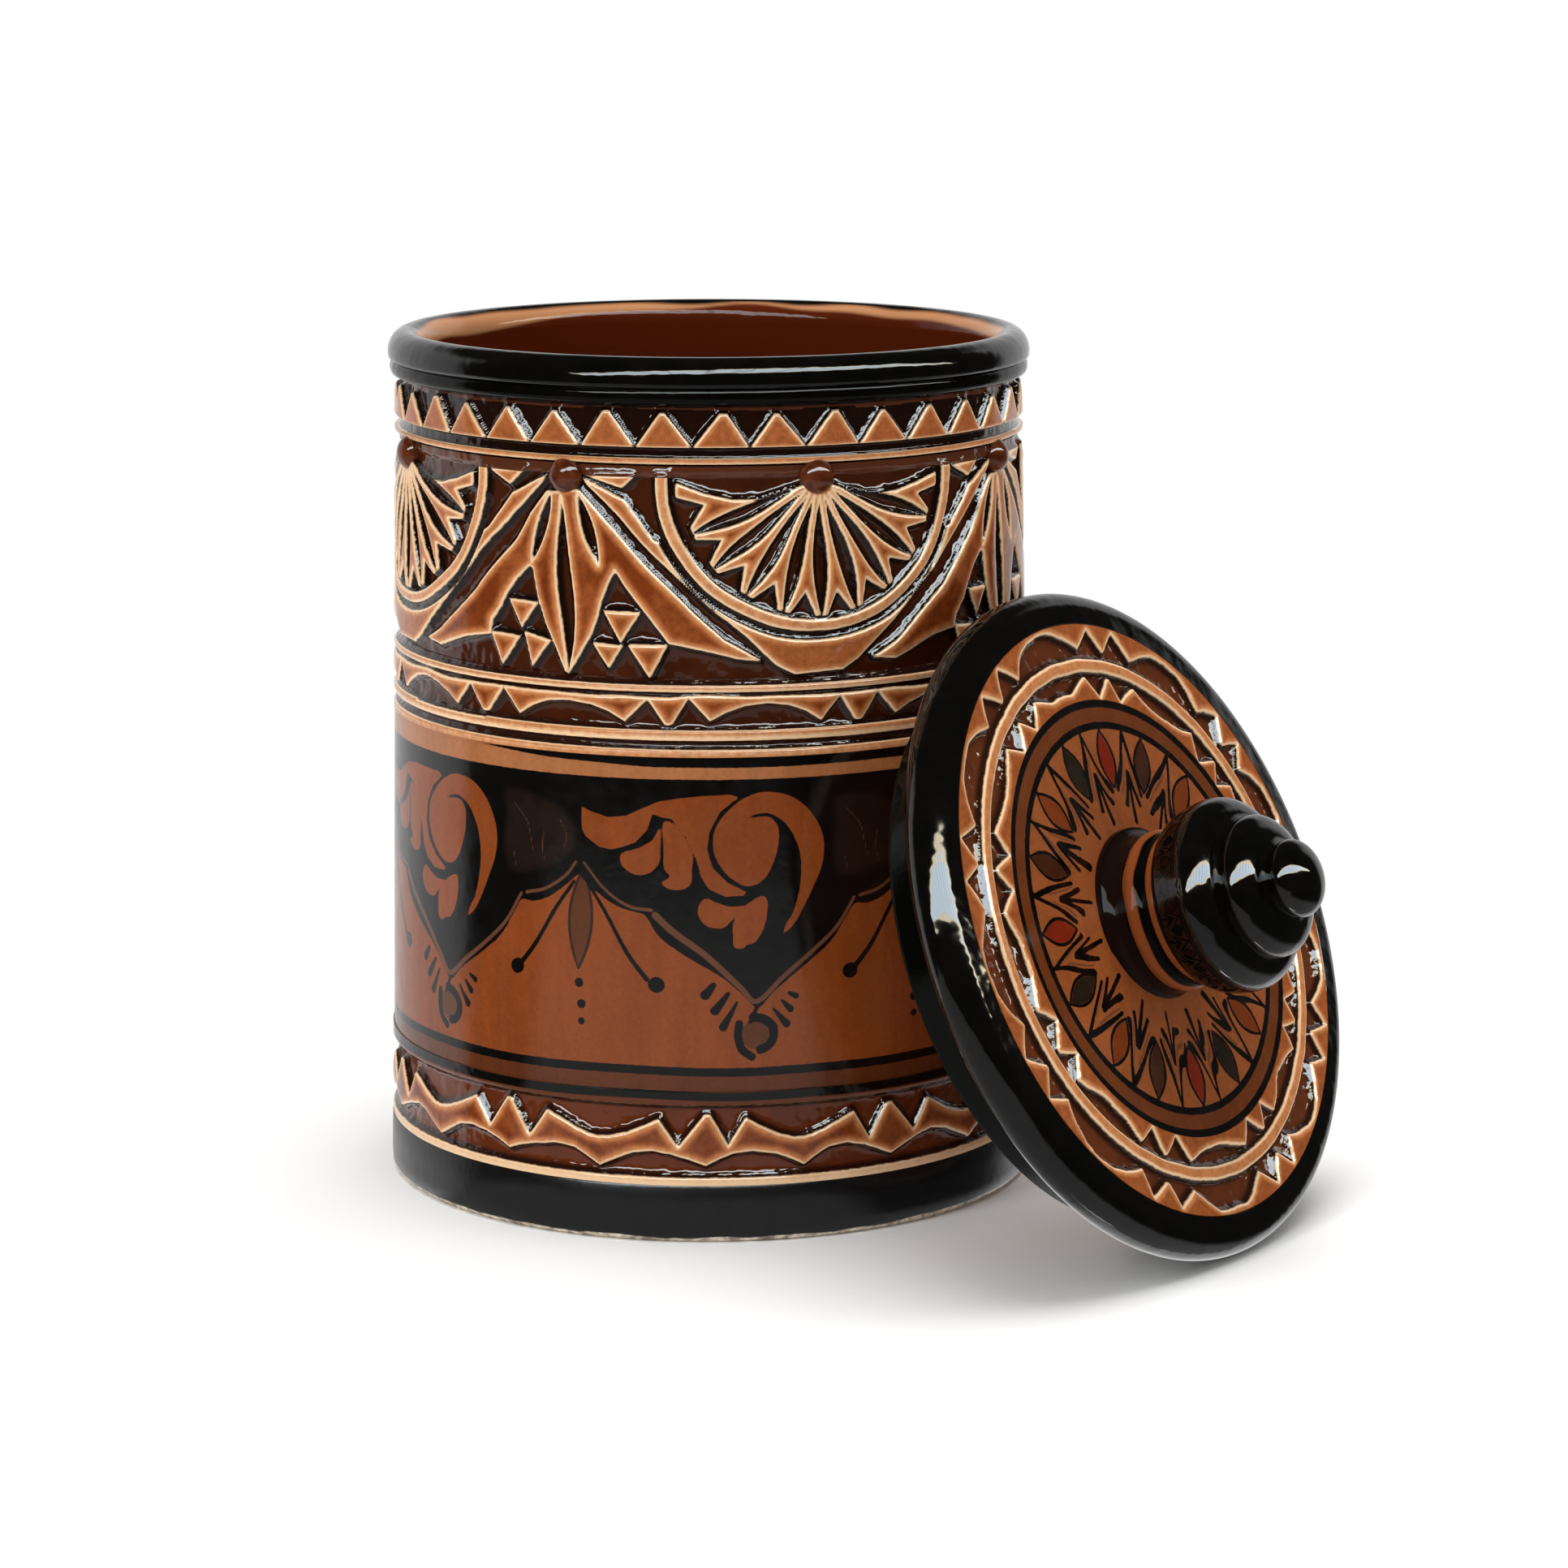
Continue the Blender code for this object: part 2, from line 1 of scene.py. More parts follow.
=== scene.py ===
"""A lidded ceramic canister, dressed: a carved and painted jar, its lid leaning on it, and a studio.

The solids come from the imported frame. Every wall of the jar and the lid's face is a relief: a grid
whose depth follows the distance to the nearest carved edge, and that distance also tells the
glaze where it runs thin and pale and where it pools dark. Lengths in the motifs are millimetres,
and everything else is metres. Angles run from the jar's front (-Y), positive towards +X.
"""

import math
from functools import reduce

import bmesh
import bpy
import numpy as np
from mathutils import Matrix, Vector


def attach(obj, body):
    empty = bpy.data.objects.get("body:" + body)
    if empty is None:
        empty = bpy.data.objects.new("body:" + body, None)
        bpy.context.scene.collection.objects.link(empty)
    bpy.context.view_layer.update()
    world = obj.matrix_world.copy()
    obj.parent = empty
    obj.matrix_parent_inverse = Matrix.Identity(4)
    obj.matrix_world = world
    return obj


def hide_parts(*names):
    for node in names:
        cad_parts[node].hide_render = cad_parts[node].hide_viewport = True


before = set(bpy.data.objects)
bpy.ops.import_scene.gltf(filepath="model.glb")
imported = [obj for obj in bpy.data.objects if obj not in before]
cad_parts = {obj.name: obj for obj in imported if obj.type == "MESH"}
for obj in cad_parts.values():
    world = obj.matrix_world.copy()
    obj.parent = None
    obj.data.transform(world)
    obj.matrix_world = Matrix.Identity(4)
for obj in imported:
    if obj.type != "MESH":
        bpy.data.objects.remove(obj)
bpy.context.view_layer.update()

bl_info = {
    "name": "Carved Canister",
    "version": (1, 0, 0),
    "blender": (4, 5, 0),
    "location": "View3D > Sidebar > Canister",
    "description": "Builds a carved and painted ceramic canister with its lid, and a studio round it",
    "category": "Add Mesh",
}

MM = 0.001
UNROLL_RADIUS = 52.0
LID_UNROLL_RADIUS = 42.0
WELD = 1e-6
WAVE_TERMS = 10
TURNED_CREASE = math.radians(42.0)
CARVED_CREASE = math.radians(78.0)
# The distance that a layer has far outside its shapes
OUTSIDE = 3.0
# How far from a shape its distance is measured, and how the edge of a cut is worn
SHAPE_REACH = 4.0
CUT_STEEPNESS = 1.9
WORN_DEPTH = 0.16
WORN_WIDTH = 0.45

# ---- Jar: heights and radii of the solids, in millimetres
WALL_TOP = 132.5
FOOT_RADIUS = 53.7
SHOULDER_RADIUS = 51.3
MOUTH_RADIUS = 46.4
SHELL_THICKNESS = 2.6
RIM_BOTTOM = 129.5
RIM_MIDDLE = 136.1
LIP_BOTTOM = 130.0
LIP_HEIGHT = 139.1
RECESS_BOTTOM = 121.3
TOOTH_BOTTOM = 123.0
TOOTH_TURN = math.radians(-7.0)
PELLET_HEIGHT = WALL_TOP * 0.914
PELLET_SINK = 0.8
PELLET_TURN = math.radians(20.0)

# Grids of the wall's bands: lowest and highest, rows and columns
FAN_FRIEZE_GRID = (90.0, 123.0, 99, 940)
CHIP_FRIEZE_GRID = (77.5, 90.0, 42, 1040)
UPPER_BAND_GRID = (50.0, 77.5, 90, 1080)
LOWER_BAND_GRID = (24.5, 50.0, 84, 1080)
WAVE_FRIEZE_GRID = (9.3, 24.5, 50, 1040)

# Fan and tent frieze: heights are from the pellets' centres, distances from the fan's own axis
FRIEZE_ORIGIN = 121.0
FAN_TURN = 20.0
FAN_COUNT = 4
HALF_FRIEZE = math.pi * UNROLL_RADIUS / FAN_COUNT
PETAL_COUNT = 9
PETAL_PITCH = 17.2
PETAL_START = -67.4
PETAL_TURNS = [math.radians(PETAL_START + PETAL_PITCH * index) for index in range(PETAL_COUNT)]
PETAL_ROOT = 3.0
PETAL_TIP = 22.2
PETAL_HALF_WIDTH = 1.25
FINGER_RADIUS = 21.5
FINGER_HALF_WIDTH = 1.0
FINGER_NOTCH_RADIUS = 17.9
FAN_WING = ((2.6, -1.2), (9.0, -2.9), (14.0, -2.9), (18.5, -2.0), (22.6, -0.5), (22.5, -2.6), (18.2, -3.7))
RING_OUTER = (25.7, 23.8)
RING_INNER = (24.0, 22.2)
RING_GROOVE = (27.3, 25.3)
SWAG = (
    (37.7, -0.1), (32.2, -2.7), (31.1, -3.1), (28.2, -6.4), (26.0, -9.2), (14.0, -14.0), (0.0, -20.0),
    (-2.0, -30.1), (4.0, -30.1), (6.9, -28.5), (11.2, -24.7), (16.2, -20.7), (21.2, -16.2), (26.2, -11.2),
    (31.2, -6.2), (37.0, -1.1),
)
TENT_RIGHT = (
    (-1.0, -2.0), (2.4, -2.0), (5.7, -5.4), (10.7, -10.2), (15.7, -15.4), (20.7, -20.4), (25.7, -25.0),
    (31.5, -28.0), (27.7, -27.8), (22.7, -26.7), (17.1, -25.5), (13.7, -21.0), (10.2, -16.5), (8.7, -14.3),
    (7.5, -16.2), (6.2, -19.2), (5.7, -21.5), (4.4, -24.7), (3.1, -26.8), (0.9, -30.7), (-1.0, -27.0),
)
TENT_LEFT = (
    (1.0, -2.5), (-3.1, -2.5), (-6.3, -6.0), (-9.3, -10.5), (-13.3, -15.0), (-17.3, -19.0), (-22.3, -23.0),
    (-27.3, -26.5), (-31.3, -28.5), (-27.3, -29.0), (-19.3, -26.5), (-14.5, -25.6), (-14.0, -23.5), (-11.8, -21.0),
    (-11.1, -19.7), (-8.8, -16.5), (-6.5, -14.3), (-5.8, -14.5), (-4.8, -19.0), (-3.3, -23.5), (-1.9, -26.2),
    (0.5, -30.7), (1.5, -27.0),
)
TENT_CHIPS = (
    ((6.7, -20.6), (12.7, -20.8), (9.7, -25.4)), ((4.9, -25.7), (10.0, -26.0), (7.7, -29.5)),
    ((10.9, -25.8), (16.9, -25.8), (14.2, -30.8)), ((-10.3, -20.1), (-4.8, -20.2), (-7.9, -24.3)),
    ((-14.3, -25.3), (-8.3, -25.8), (-12.0, -30.3)), ((-7.3, -25.0), (-2.5, -26.0), (-5.6, -30.2)),
    ((-14.3, 0.3), (-7.3, 0.5), (-10.2, -1.8)), ((3.7, 0.3), (11.7, 0.5), (9.5, -1.4)),
)
TENT_SIDE_CUT = ((2.3, -2.6), (5.9, -13.6), 1.0)
TENT_MIDDLE_CUT = ((-0.5, -3.0), (0.9, -30.4), 1.35)

# Chip frieze and wave frieze: angles of the tooth groups, and contours from a group's middle
HALF_GROUP = 16.33
CHIP_GROUPS = (-41.9, -6.2, 27.5, 64.0, 100.5, 137.0, 173.5, 210.0, 246.5, 282.5)
CHIP_CONTOUR = ((0.0, 82.9), (0.6, 83.0), (3.5, 87.0), (6.9, 83.3), (9.5, 84.8), (12.5, 85.8), (16.33, 86.2))
CHIP_TOP = 87.2
CHIP_BOTTOM = 78.3
CHIP_RIDGES = ((88.1, 88.9), (80.5, 81.8), (78.0, 78.8))
CHIP_RIDGE_FADE = 0.45
WAVE_GROUPS = (-36.4, -0.1, 33.5, 70.0, 106.5, 143.0, 179.5, 215.5, 251.5, 287.5)
WAVE_TOP = (
    (0.0, 20.7), (0.45, 20.7), (4.0, 15.6), (7.1, 20.2), (9.5, 18.9), (12.0, 17.6), (14.5, 16.8), (16.33, 16.6),
)
WAVE_BOTTOM = ((0.0, 12.4), (2.5, 13.6), (5.0, 14.6), (8.2, 15.1), (11.5, 14.5), (14.0, 13.3), (16.33, 12.1))
WAVE_RIDGE = (9.3, 10.5)
WAVE_RIDGE_FADE = 0.22
WAVE_TOP_EDGE = 22.4

# Painted band: six pendants, drawn from a pendant's middle
PENDANT_COUNT = 6
PENDANT_TURN = 8.1
PENDANT_HALF_PITCH = math.pi * UNROLL_RADIUS / PENDANT_COUNT
GROUND_TOP = 74.3
TOP_LINE = (76.2, 77.8)
BOTTOM_LINES = ((27.0, 28.4), (23.1, 24.5))
FESTOON = (
    (-27.9, 58.2), (-26.5, 57.3), (-23.3, 55.0), (-20.3, 53.7), (-17.3, 53.2), (-16.3, 52.6), (-14.3, 49.5),
    (-10.3, 46.4), (-5.3, 43.2), (-2.3, 40.6), (0.4, 38.0), (3.0, 40.3), (6.6, 43.0), (9.6, 45.2), (12.6, 47.7),
    (15.1, 51.3), (16.6, 53.4), (18.6, 53.2), (21.5, 54.0), (24.5, 56.2), (26.6, 58.2),
)
FESTOON_TRIM = (
    ((-26.8, 60.3), (-23.3, 56.5), (-19.3, 54.2), (-15.6, 53.8)),
    (
        (-15.0, 53.0), (-12.3, 50.4), (-7.3, 46.4), (-2.3, 41.4), (0.3, 39.0), (4.6, 42.5), (9.6, 46.4),
        (13.6, 50.0), (16.5, 54.4),
    ),
    ((17.5, 54.6), (21.0, 55.4), (24.5, 57.8), (26.3, 60.3)),
)
FESTOON_TRIM_WIDTHS = ((0.2, 0.28), (0.55, 0.25), (0.28, 0.2))
WING = (
    (-27.6, 69.5), (-25.8, 68.8), (-22.8, 68.1), (-19.8, 68.6), (-17.3, 69.8), (-14.8, 70.9), (-11.3, 71.4),
    (-7.3, 71.6), (-3.3, 71.7), (-2.0, 71.2), (-4.9, 69.0), (-6.6, 66.0), (-7.0, 63.0), (-6.2, 60.3), (-3.9, 57.8),
    (-0.9, 56.2), (-1.5, 55.7), (-4.3, 55.6), (-6.9, 57.0), (-8.0, 59.0), (-8.8, 62.0), (-10.3, 65.2),
    (-12.5, 68.2), (-13.8, 68.4), (-15.6, 69.0), (-16.4, 66.5), (-18.3, 64.5), (-20.6, 63.5), (-22.3, 63.0),
    (-24.3, 63.2), (-26.6, 64.7), (-27.8, 67.0),
)
WING_LOBES = (
    (
        (-15.5, 65.0), (-17.8, 63.6), (-20.6, 62.5), (-20.3, 60.5), (-18.3, 59.4), (-16.3, 59.6), (-14.6, 61.0),
        (-14.3, 63.0), (-14.4, 66.8),
    ),
    (
        (-13.9, 67.6), (-13.8, 64.0), (-13.7, 60.5), (-12.8, 59.2), (-14.1, 58.2), (-12.8, 57.2), (-10.8, 57.1),
        (-9.5, 58.0), (-9.4, 60.0), (-9.2, 62.0), (-10.0, 64.3), (-12.2, 67.4),
    ),
)
CURL = (
    (-3.8, 69.0), (-1.4, 70.9), (1.7, 72.0), (5.7, 71.5), (8.7, 69.5), (10.7, 66.6), (11.6, 63.5), (11.2, 60.0),
    (9.7, 56.5), (8.2, 53.5), (6.7, 51.0), (5.0, 49.6), (5.4, 51.0), (6.7, 53.2), (7.7, 57.0), (7.9, 61.0),
    (7.0, 64.5), (5.2, 67.2), (2.4, 68.7), (-0.8, 67.9), (2.4, 68.1), (3.6, 67.5), (4.3, 66.2), (4.3, 64.0),
    (3.8, 61.8), (2.9, 59.6), (1.7, 58.0), (0.0, 57.2), (-1.9, 57.5), (-4.1, 59.2), (-5.7, 61.8), (-6.1, 64.2),
    (-5.6, 66.6),
)
LEAVES = (
    (
        (-7.3, 55.5), (-8.3, 54.5), (-8.5, 53.0), (-7.6, 51.5), (-6.3, 50.8), (-4.6, 50.8), (-3.5, 51.7),
        (-1.8, 53.2), (-0.8, 54.1), (-3.3, 54.0), (-5.3, 54.6),
    ),
    (
        (1.6, 55.6), (2.4, 54.9), (2.3, 52.5), (1.5, 50.0), (0.2, 48.3), (-1.0, 48.0), (-1.8, 47.4), (-3.0, 47.7),
        (-3.2, 49.3), (-3.1, 51.5), (-2.0, 53.2), (-0.3, 54.7),
    ),
)
DASHES = (
    ((-7.5, 40.2), (-6.3, 41.8), 0.75, 0.45), ((-6.1, 37.7), (-4.1, 40.4), 0.7, 0.35),
    ((-4.9, 35.1), (-2.8, 39.0), 0.65, 0.2), ((6.8, 39.4), (5.6, 40.0), 0.5, 0.3),
    ((5.8, 37.4), (4.3, 39.0), 0.6, 0.2), ((5.1, 35.1), (2.9, 37.7), 0.65, 0.2),
)
BUD_STROKES = (
    ((-2.5, 35.6), (-2.7, 33.5), (-2.1, 31.5), (-0.6, 30.2)),
    ((-0.3, 36.6), (1.4, 36.1), (2.8, 34.8), (2.8, 33.0), (1.9, 31.8), (0.7, 31.3)),
    ((0.4, 38.4), (-0.1, 37.2), (-0.8, 35.8)),
)
WASH = (
    (12.6, 70.8), (16.0, 71.8), (20.0, 71.0), (24.0, 69.4), (26.4, 66.4), (26.6, 62.6), (24.2, 59.6), (21.0, 58.2),
    (17.0, 57.2), (13.6, 57.8), (12.4, 62.0), (13.0, 67.0),
)
WASH_STROKES = (
    ((15.2, 68.8), (17.6, 66.0), (18.4, 62.8), (18.9, 60.6)), ((20.6, 64.6), (20.4, 61.8), (20.9, 59.6)),
    ((23.4, 67.0), (24.6, 64.4), (24.2, 62.4)), ((15.0, 61.0), (15.4, 58.8)),
)
BUD_WIDTHS = (0.62, 0.72, 0.32)
BUD = (0.1, 33.8, 2.4)
LEAF_AXIS = ((0.3, 59.0), (-0.4, 43.0), 1.95)
SEED_DOTS = ((-0.3, 40.7, 0.75), (0.1, 37.3, 0.75), (0.1, 34.6, 0.6))
STEMS = (
    ((1.2, 57.0), (4.3, 52.5), (7.8, 46.5), (11.0, 42.4)),
    ((-1.2, 57.0), (-4.3, 52.5), (-7.8, 46.8), (-10.6, 43.4)),
)
STEM_DOTS = ((12.5, 41.6, 1.3), (-11.4, 42.8, 1.25))

# ---- Lid, in millimetres about its own axis, height zero at the middle of the rim roll
LID_RIM_RADIUS = 54.24
LID_ROLL_RADIUS = 3.64
LID_FACE = 3.9
LID_FACE_OUTER = 48.0
LID_RING = (40.3, 42.3)
LID_DISC = 35.6
LID_SHELL_BOTTOM = 1.3
FLANGE_DEPTH = 8.9
FLANGE_WALL = 4.2
FLANGE_EDGE = 1.0
FLANGE_CLEARANCE = 0.9
LID_CEILING = -2.0
GROOVE = ((0.6, 0.0), (0.0, 0.12), (-0.6, 0.0))
LEAN = 23.0
LEAN_TURN = 55.4
SEAT_GAP = 0.3
LID_GROUPS = (-153.0, -111.0, -68.3, -27.2, 16.0, 58.5, 94.0, 127.0, 163.2)
LID_HALF_GROUP = 20.0
LID_CARVING_GRID = (LID_DISC, LID_FACE_OUTER + 0.1, 45, 1000)
LID_PAINTING_GRID = (10.0, LID_DISC, 92, 880)
LID_OUTER_CONTOUR = ((0.0, 43.8), (0.4, 43.8), (4.1, 47.5), (8.2, 43.9), (12.0, 45.8), (16.0, 47.1), (20.0, 47.4))
LID_INNER_CONTOUR = ((0.0, 39.2), (0.4, 39.2), (4.5, 35.9), (8.7, 39.2), (12.5, 38.1), (16.0, 37.3), (20.0, 37.0))
CIRCLES = ((34.35, 35.6), (30.8, 32.0))
OVAL_COUNT = 16
OVAL_TURN = 6.1
OVAL_AXIS = ((0.0, 20.9), (0.0, 30.9))
OVAL_HALF_WIDTH = 2.35
OVAL_OUTLINE = 0.6
OVAL_SLIPS = ("red", "brown", "plain", "dark")
OVAL_JITTER = (0.0, 1.1, 0.3, 0.6, -0.4, 1.6, 0.9, 0.4, 0.2, -0.3, 0.8, -0.5, 0.6, -0.2, 0.5, -0.7)
ARROW_STROKES = (
    ((0.0, 30.6), (-1.5, 25.5), (-3.2, 20.6), 0.3), ((0.0, 30.6), (1.4, 25.5), (3.1, 20.4), 0.3),
    ((-0.2, 24.0), (-0.9, 21.0), (-1.7, 18.3), 0.3), ((0.0, 23.4), (0.1, 19.0), (0.3, 15.8), 0.34),
    ((0.2, 23.8), (1.0, 21.2), (2.2, 18.7), 0.3),
)
ARROW_TRIM = (((-0.5, 26.8), (-1.4, 23.0), (-2.3, 20.2), 0.14), ((0.5, 26.6), (1.3, 23.0), (2.3, 20.4), 0.14))

KNOB_LEAN = math.radians(3.0)

# ---- Stage, in metres
CAMERA_PLACE = (0.012292, -0.76657, 0.213475)
# The turns between which reflections show the sheet on the floor, and no backdrop
SHEET_SIDES = (math.radians(-56.0), math.radians(34.0))
ROOM_SIDES = (math.radians(-98.0), math.radians(128.0))
# The window that shiny surfaces show, in heights of the room: all of it, and its blue core
WINDOW_SIDES = (-2.3, 3.6)
CORE_SIDES = (-2.2, 3.4)
WINDOW_LIGHT = 16.0
BAR_PITCH = 0.3


# ---- Small tools for making meshes


def wall_radius(height):
    return FOOT_RADIUS + (SHOULDER_RADIUS - FOOT_RADIUS) * height / WALL_TOP


def lid_matrix():
    """The lid's place: its roll stands on the floor and its flange rests on the jar's wall."""
    lean = math.radians(LEAN)
    turn = math.radians(LEAN_TURN)
    height = (LID_RIM_RADIUS - LID_ROLL_RADIUS) * math.cos(lean) + LID_ROLL_RADIUS
    reach = MOUTH_RADIUS - FLANGE_CLEARANCE - FLANGE_EDGE
    depth = LID_ROLL_RADIUS + FLANGE_DEPTH - FLANGE_EDGE
    touch = height + reach * math.cos(lean) - depth * math.sin(lean)
    distance = wall_radius(touch) + SEAT_GAP + FLANGE_EDGE + reach * math.sin(lean) + depth * math.cos(lean)
    place = Vector((distance * math.sin(turn), -distance * math.cos(turn), height)) * MM
    tilt = Matrix.Rotation(turn, 4, "Z") @ Matrix.Rotation(math.pi / 2 - lean, 4, "X")
    return Matrix.Translation(place) @ tilt


def new_object(name, mesh, material):
    mesh.materials.clear()
    mesh.materials.append(material)
    mesh.name = name
    item = bpy.data.objects.new(name, mesh)
    bpy.context.scene.collection.objects.link(item)
    return item


def store(mesh, name, values):
    layer = mesh.attributes.new(name, "FLOAT", "POINT")
    layer.data.foreach_set("value", np.ascontiguousarray(values, dtype=np.float32).ravel())


def read_points(mesh):
    """The heights, radii and angles of a mesh's points, with lengths in millimetres."""
    points = np.empty(len(mesh.vertices) * 3)
    mesh.vertices.foreach_get("co", points)
    east, north, up = points.reshape(-1, 3).T / MM
    return up, np.hypot(east, north), np.arctan2(east, -north)


def ring_sheet(points, layers):
    """A mesh of a grid of points (rows, columns, 3) that closes on itself along its columns."""
    rows, columns = points.shape[:2]
    starts = np.arange(rows - 1)[:, None] * columns
    first = (starts + np.arange(columns)).ravel()
    beside = (starts + (np.arange(columns) + 1) % columns).ravel()
    corners = np.stack([first, beside, beside + columns, first + columns], axis=1)
    mesh = bpy.data.meshes.new("sheet")
    mesh.vertices.add(rows * columns)
    mesh.vertices.foreach_set("co", points.ravel())
    mesh.loops.add(corners.size)
    mesh.loops.foreach_set("vertex_index", corners.ravel().astype(np.int32))
    mesh.polygons.add(len(corners))
    mesh.polygons.foreach_set("loop_start", np.arange(0, corners.size, 4, dtype=np.int32))
    mesh.update(calc_edges=True)
    for name, values in layers.items():
        store(mesh, name, values)
    return mesh


def close_ring(mesh, sink):
    """Gives an open ring of relief its sides and back, and turns every face outwards."""
    shape = bmesh.new()
    shape.from_mesh(mesh)
    rim = [edge for edge in shape.edges if edge.is_boundary]
    grown = bmesh.ops.extrude_edge_only(shape, edges=rim)["geom"]
    for vertex in (item for item in grown if isinstance(item, bmesh.types.BMVert)):
        vertex.co = sink(vertex.co)
    back = [item for item in grown if isinstance(item, bmesh.types.BMEdge) and item.is_boundary]
    bmesh.ops.bridge_loops(shape, edges=back)
    bmesh.ops.recalc_face_normals(shape, faces=shape.faces)
    shape.to_mesh(mesh)
    shape.free()
    mesh.shade_smooth()
    mesh.set_sharp_from_angle(angle=CARVED_CREASE)
    return mesh


def arc(centre, radii, start, end, steps):
    """Points along an elliptical arc of a profile, ends included."""
    turns = [math.radians(start + (end - start) * step / steps) for step in range(steps + 1)]
    return [(centre[0] + radii[0] * math.cos(turn), centre[1] + radii[1] * math.sin(turn)) for turn in turns]


def sink_into_wall(co):
    radius = math.hypot(co.x, co.y)
    inner = (wall_radius(co.z / MM) - SHELL_THICKNESS) * MM
    return Vector((co.x * inner / radius, co.y * inner / radius, co.z))


def sink_into_lid(co):
    return Vector((co.x, co.y, LID_SHELL_BOTTOM * MM))


def waves(first, second, seed, first_rate, second_rate):
    """A smooth hand's unevenness, about -1 to 1, that repeats round the ring."""
    picks = np.random.default_rng(seed)
    total = np.zeros(np.broadcast(first, second).shape)
    for _ in range(WAVE_TERMS):
        turns = picks.integers(1, first_rate + 1)
        climb = picks.uniform(-second_rate, second_rate)
        total += np.sin(turns * first + climb * second + picks.uniform(0.0, math.tau))
    return total / math.sqrt(WAVE_TERMS)


# ---- Distances to drawn shapes, in millimetres, negative inside


def smooth_line(points, closed=False, steps=5):
    """A rounded line through the points."""
    knots = np.array(points, dtype=float)
    if closed:
        knots = np.vstack([knots[-1], knots, knots[0], knots[1]])
    else:
        knots = np.vstack([2 * knots[0] - knots[1], knots, 2 * knots[-1] - knots[-2]])
    line = []
    for before, start, end, after in zip(knots[:-3], knots[1:-2], knots[2:-1], knots[3:]):
        for step in range(steps):
            t = step / steps
            bend, twist = 2 * before - 5 * start + 4 * end - after, 3 * start - before - 3 * end + after
            line.append(0.5 * (2 * start + (end - before) * t + bend * t * t + twist * t ** 3))
    if not closed:
        line.append(knots[-2])
    return np.array(line)


def nearby(x, y, points, reach, measure):
    """Runs a measure only near the points. Farther off, the distance is just the reach."""
    low, high = np.min(points, axis=0) - reach, np.max(points, axis=0) + reach
    near = (x > low[0]) & (x < high[0]) & (y > low[1]) & (y < high[1])
    gap = np.full(x.shape, reach)
    if near.any():
        gap[near] = measure(x[near], y[near])
    return gap


def segment_gap(x, y, start, end):
    """Distance to a straight line, and the share of its length at the nearest place."""
    run, rise = end - start
    dx, dy = x - start[0], y - start[1]
    along = np.clip((dx * run + dy * rise) / (run * run + rise * rise), 0.0, 1.0)
    return np.hypot(dx - run * along, dy - rise * along), along


def shape_gap(x, y, points):
    """Distance to the edge of a closed shape."""
    corners = np.asarray(points, dtype=float)

    def measure(px, py):
        best, inside = np.full(px.shape, np.inf), np.zeros(px.shape, dtype=bool)
        for start, end in zip(corners, np.roll(corners, -1, axis=0)):
            best = np.minimum(best, segment_gap(px, py, start, end)[0])
            if start[1] != end[1]:
                run, rise = end - start
                crosses = (start[1] > py) != (end[1] > py)
                inside ^= crosses & (px < run * (py - start[1]) / rise + start[0])
        return np.where(inside, -best, best)

    return nearby(x, y, corners, SHAPE_REACH, measure)


def stroke_gap(x, y, points, start_width, end_width=None):
    """Distance to a brush stroke, whose half width changes evenly from its start to its end."""
    line = np.asarray(points, dtype=float)
    widths = np.linspace(start_width, start_width if end_width is None else end_width, len(line))

    def measure(px, py):
        best = np.full(px.shape, np.inf)
        for start, end, first, last in zip(line, line[1:], widths, widths[1:]):
            gap, along = segment_gap(px, py, start, end)
            best = np.minimum(best, gap - (first + (last - first) * along))
        return best

    return nearby(x, y, line, OUTSIDE, measure)


def leaf_gap(x, y, start, end, half_width, fullness=1.0):
    """Distance to a leaf-shaped cut between two tips. Fullness over 1 moves its widest place on."""
    run, rise = end[0] - start[0], end[1] - start[1]
    length = math.hypot(run, rise)

    def measure(px, py):
        dx, dy = px - start[0], py - start[1]
        along = (dx * run + dy * rise) / length ** 2
        across = np.abs(dx * rise - dy * run) / length
        inside = np.clip(along, 0.0, 1.0)
        beyond = np.abs(along - inside) * length
        width = half_width * np.sin(math.pi * inside ** fullness) ** 0.85
        return np.hypot(np.maximum(across - width, 0.0), beyond) + np.minimum(across - width, 0.0)

    return nearby(x, y, (start, end), SHAPE_REACH, measure)


def dot_gap(x, y, centre_x, centre_y, radius):
    return np.hypot(x - centre_x, y - centre_y) - radius


def oval_gap(x, y, axes):
    """Distance to an ellipse about the origin, near enough for one that is almost round."""
    size = np.sqrt((x / axes[0]) ** 2 + (y / axes[1]) ** 2) + 1e-6
    return np.hypot(x, y) * (1.0 - 1.0 / size)


def band_gap(value, limits):
    return np.abs(value - (limits[0] + limits[1]) / 2) - (limits[1] - limits[0]) / 2


def folded(angle, middles, half_width):
    """Place across the nearest group, so that neighbours' boundaries lie at the half width."""
    middles = np.sort(np.asarray(middles, dtype=float))
    ring = np.concatenate([[middles[-1] - 360.0], middles, [middles[0] + 360.0]])
    turned = (angle - middles[0]) % 360.0 + middles[0]
    after = np.clip(np.searchsorted(ring, turned, side="right"), 1, len(ring) - 1)
    start, end = ring[after - 1], ring[after]
    share = (turned - start) / (end - start)
    return np.where(share < 0.5, share * 2 * half_width, (share - 1.0) * 2 * half_width)


def ridge_gap(height, limits, fade):
    """Distance to a narrow turned ridge, set so that the ridge is palest along its lower edge and darker towards its
    top.
    """
    share = (height - limits[0]) / (limits[1] - limits[0])
    gap = band_gap(height, limits)
    return np.where(gap < 0.0, -0.08 - fade * share, gap)


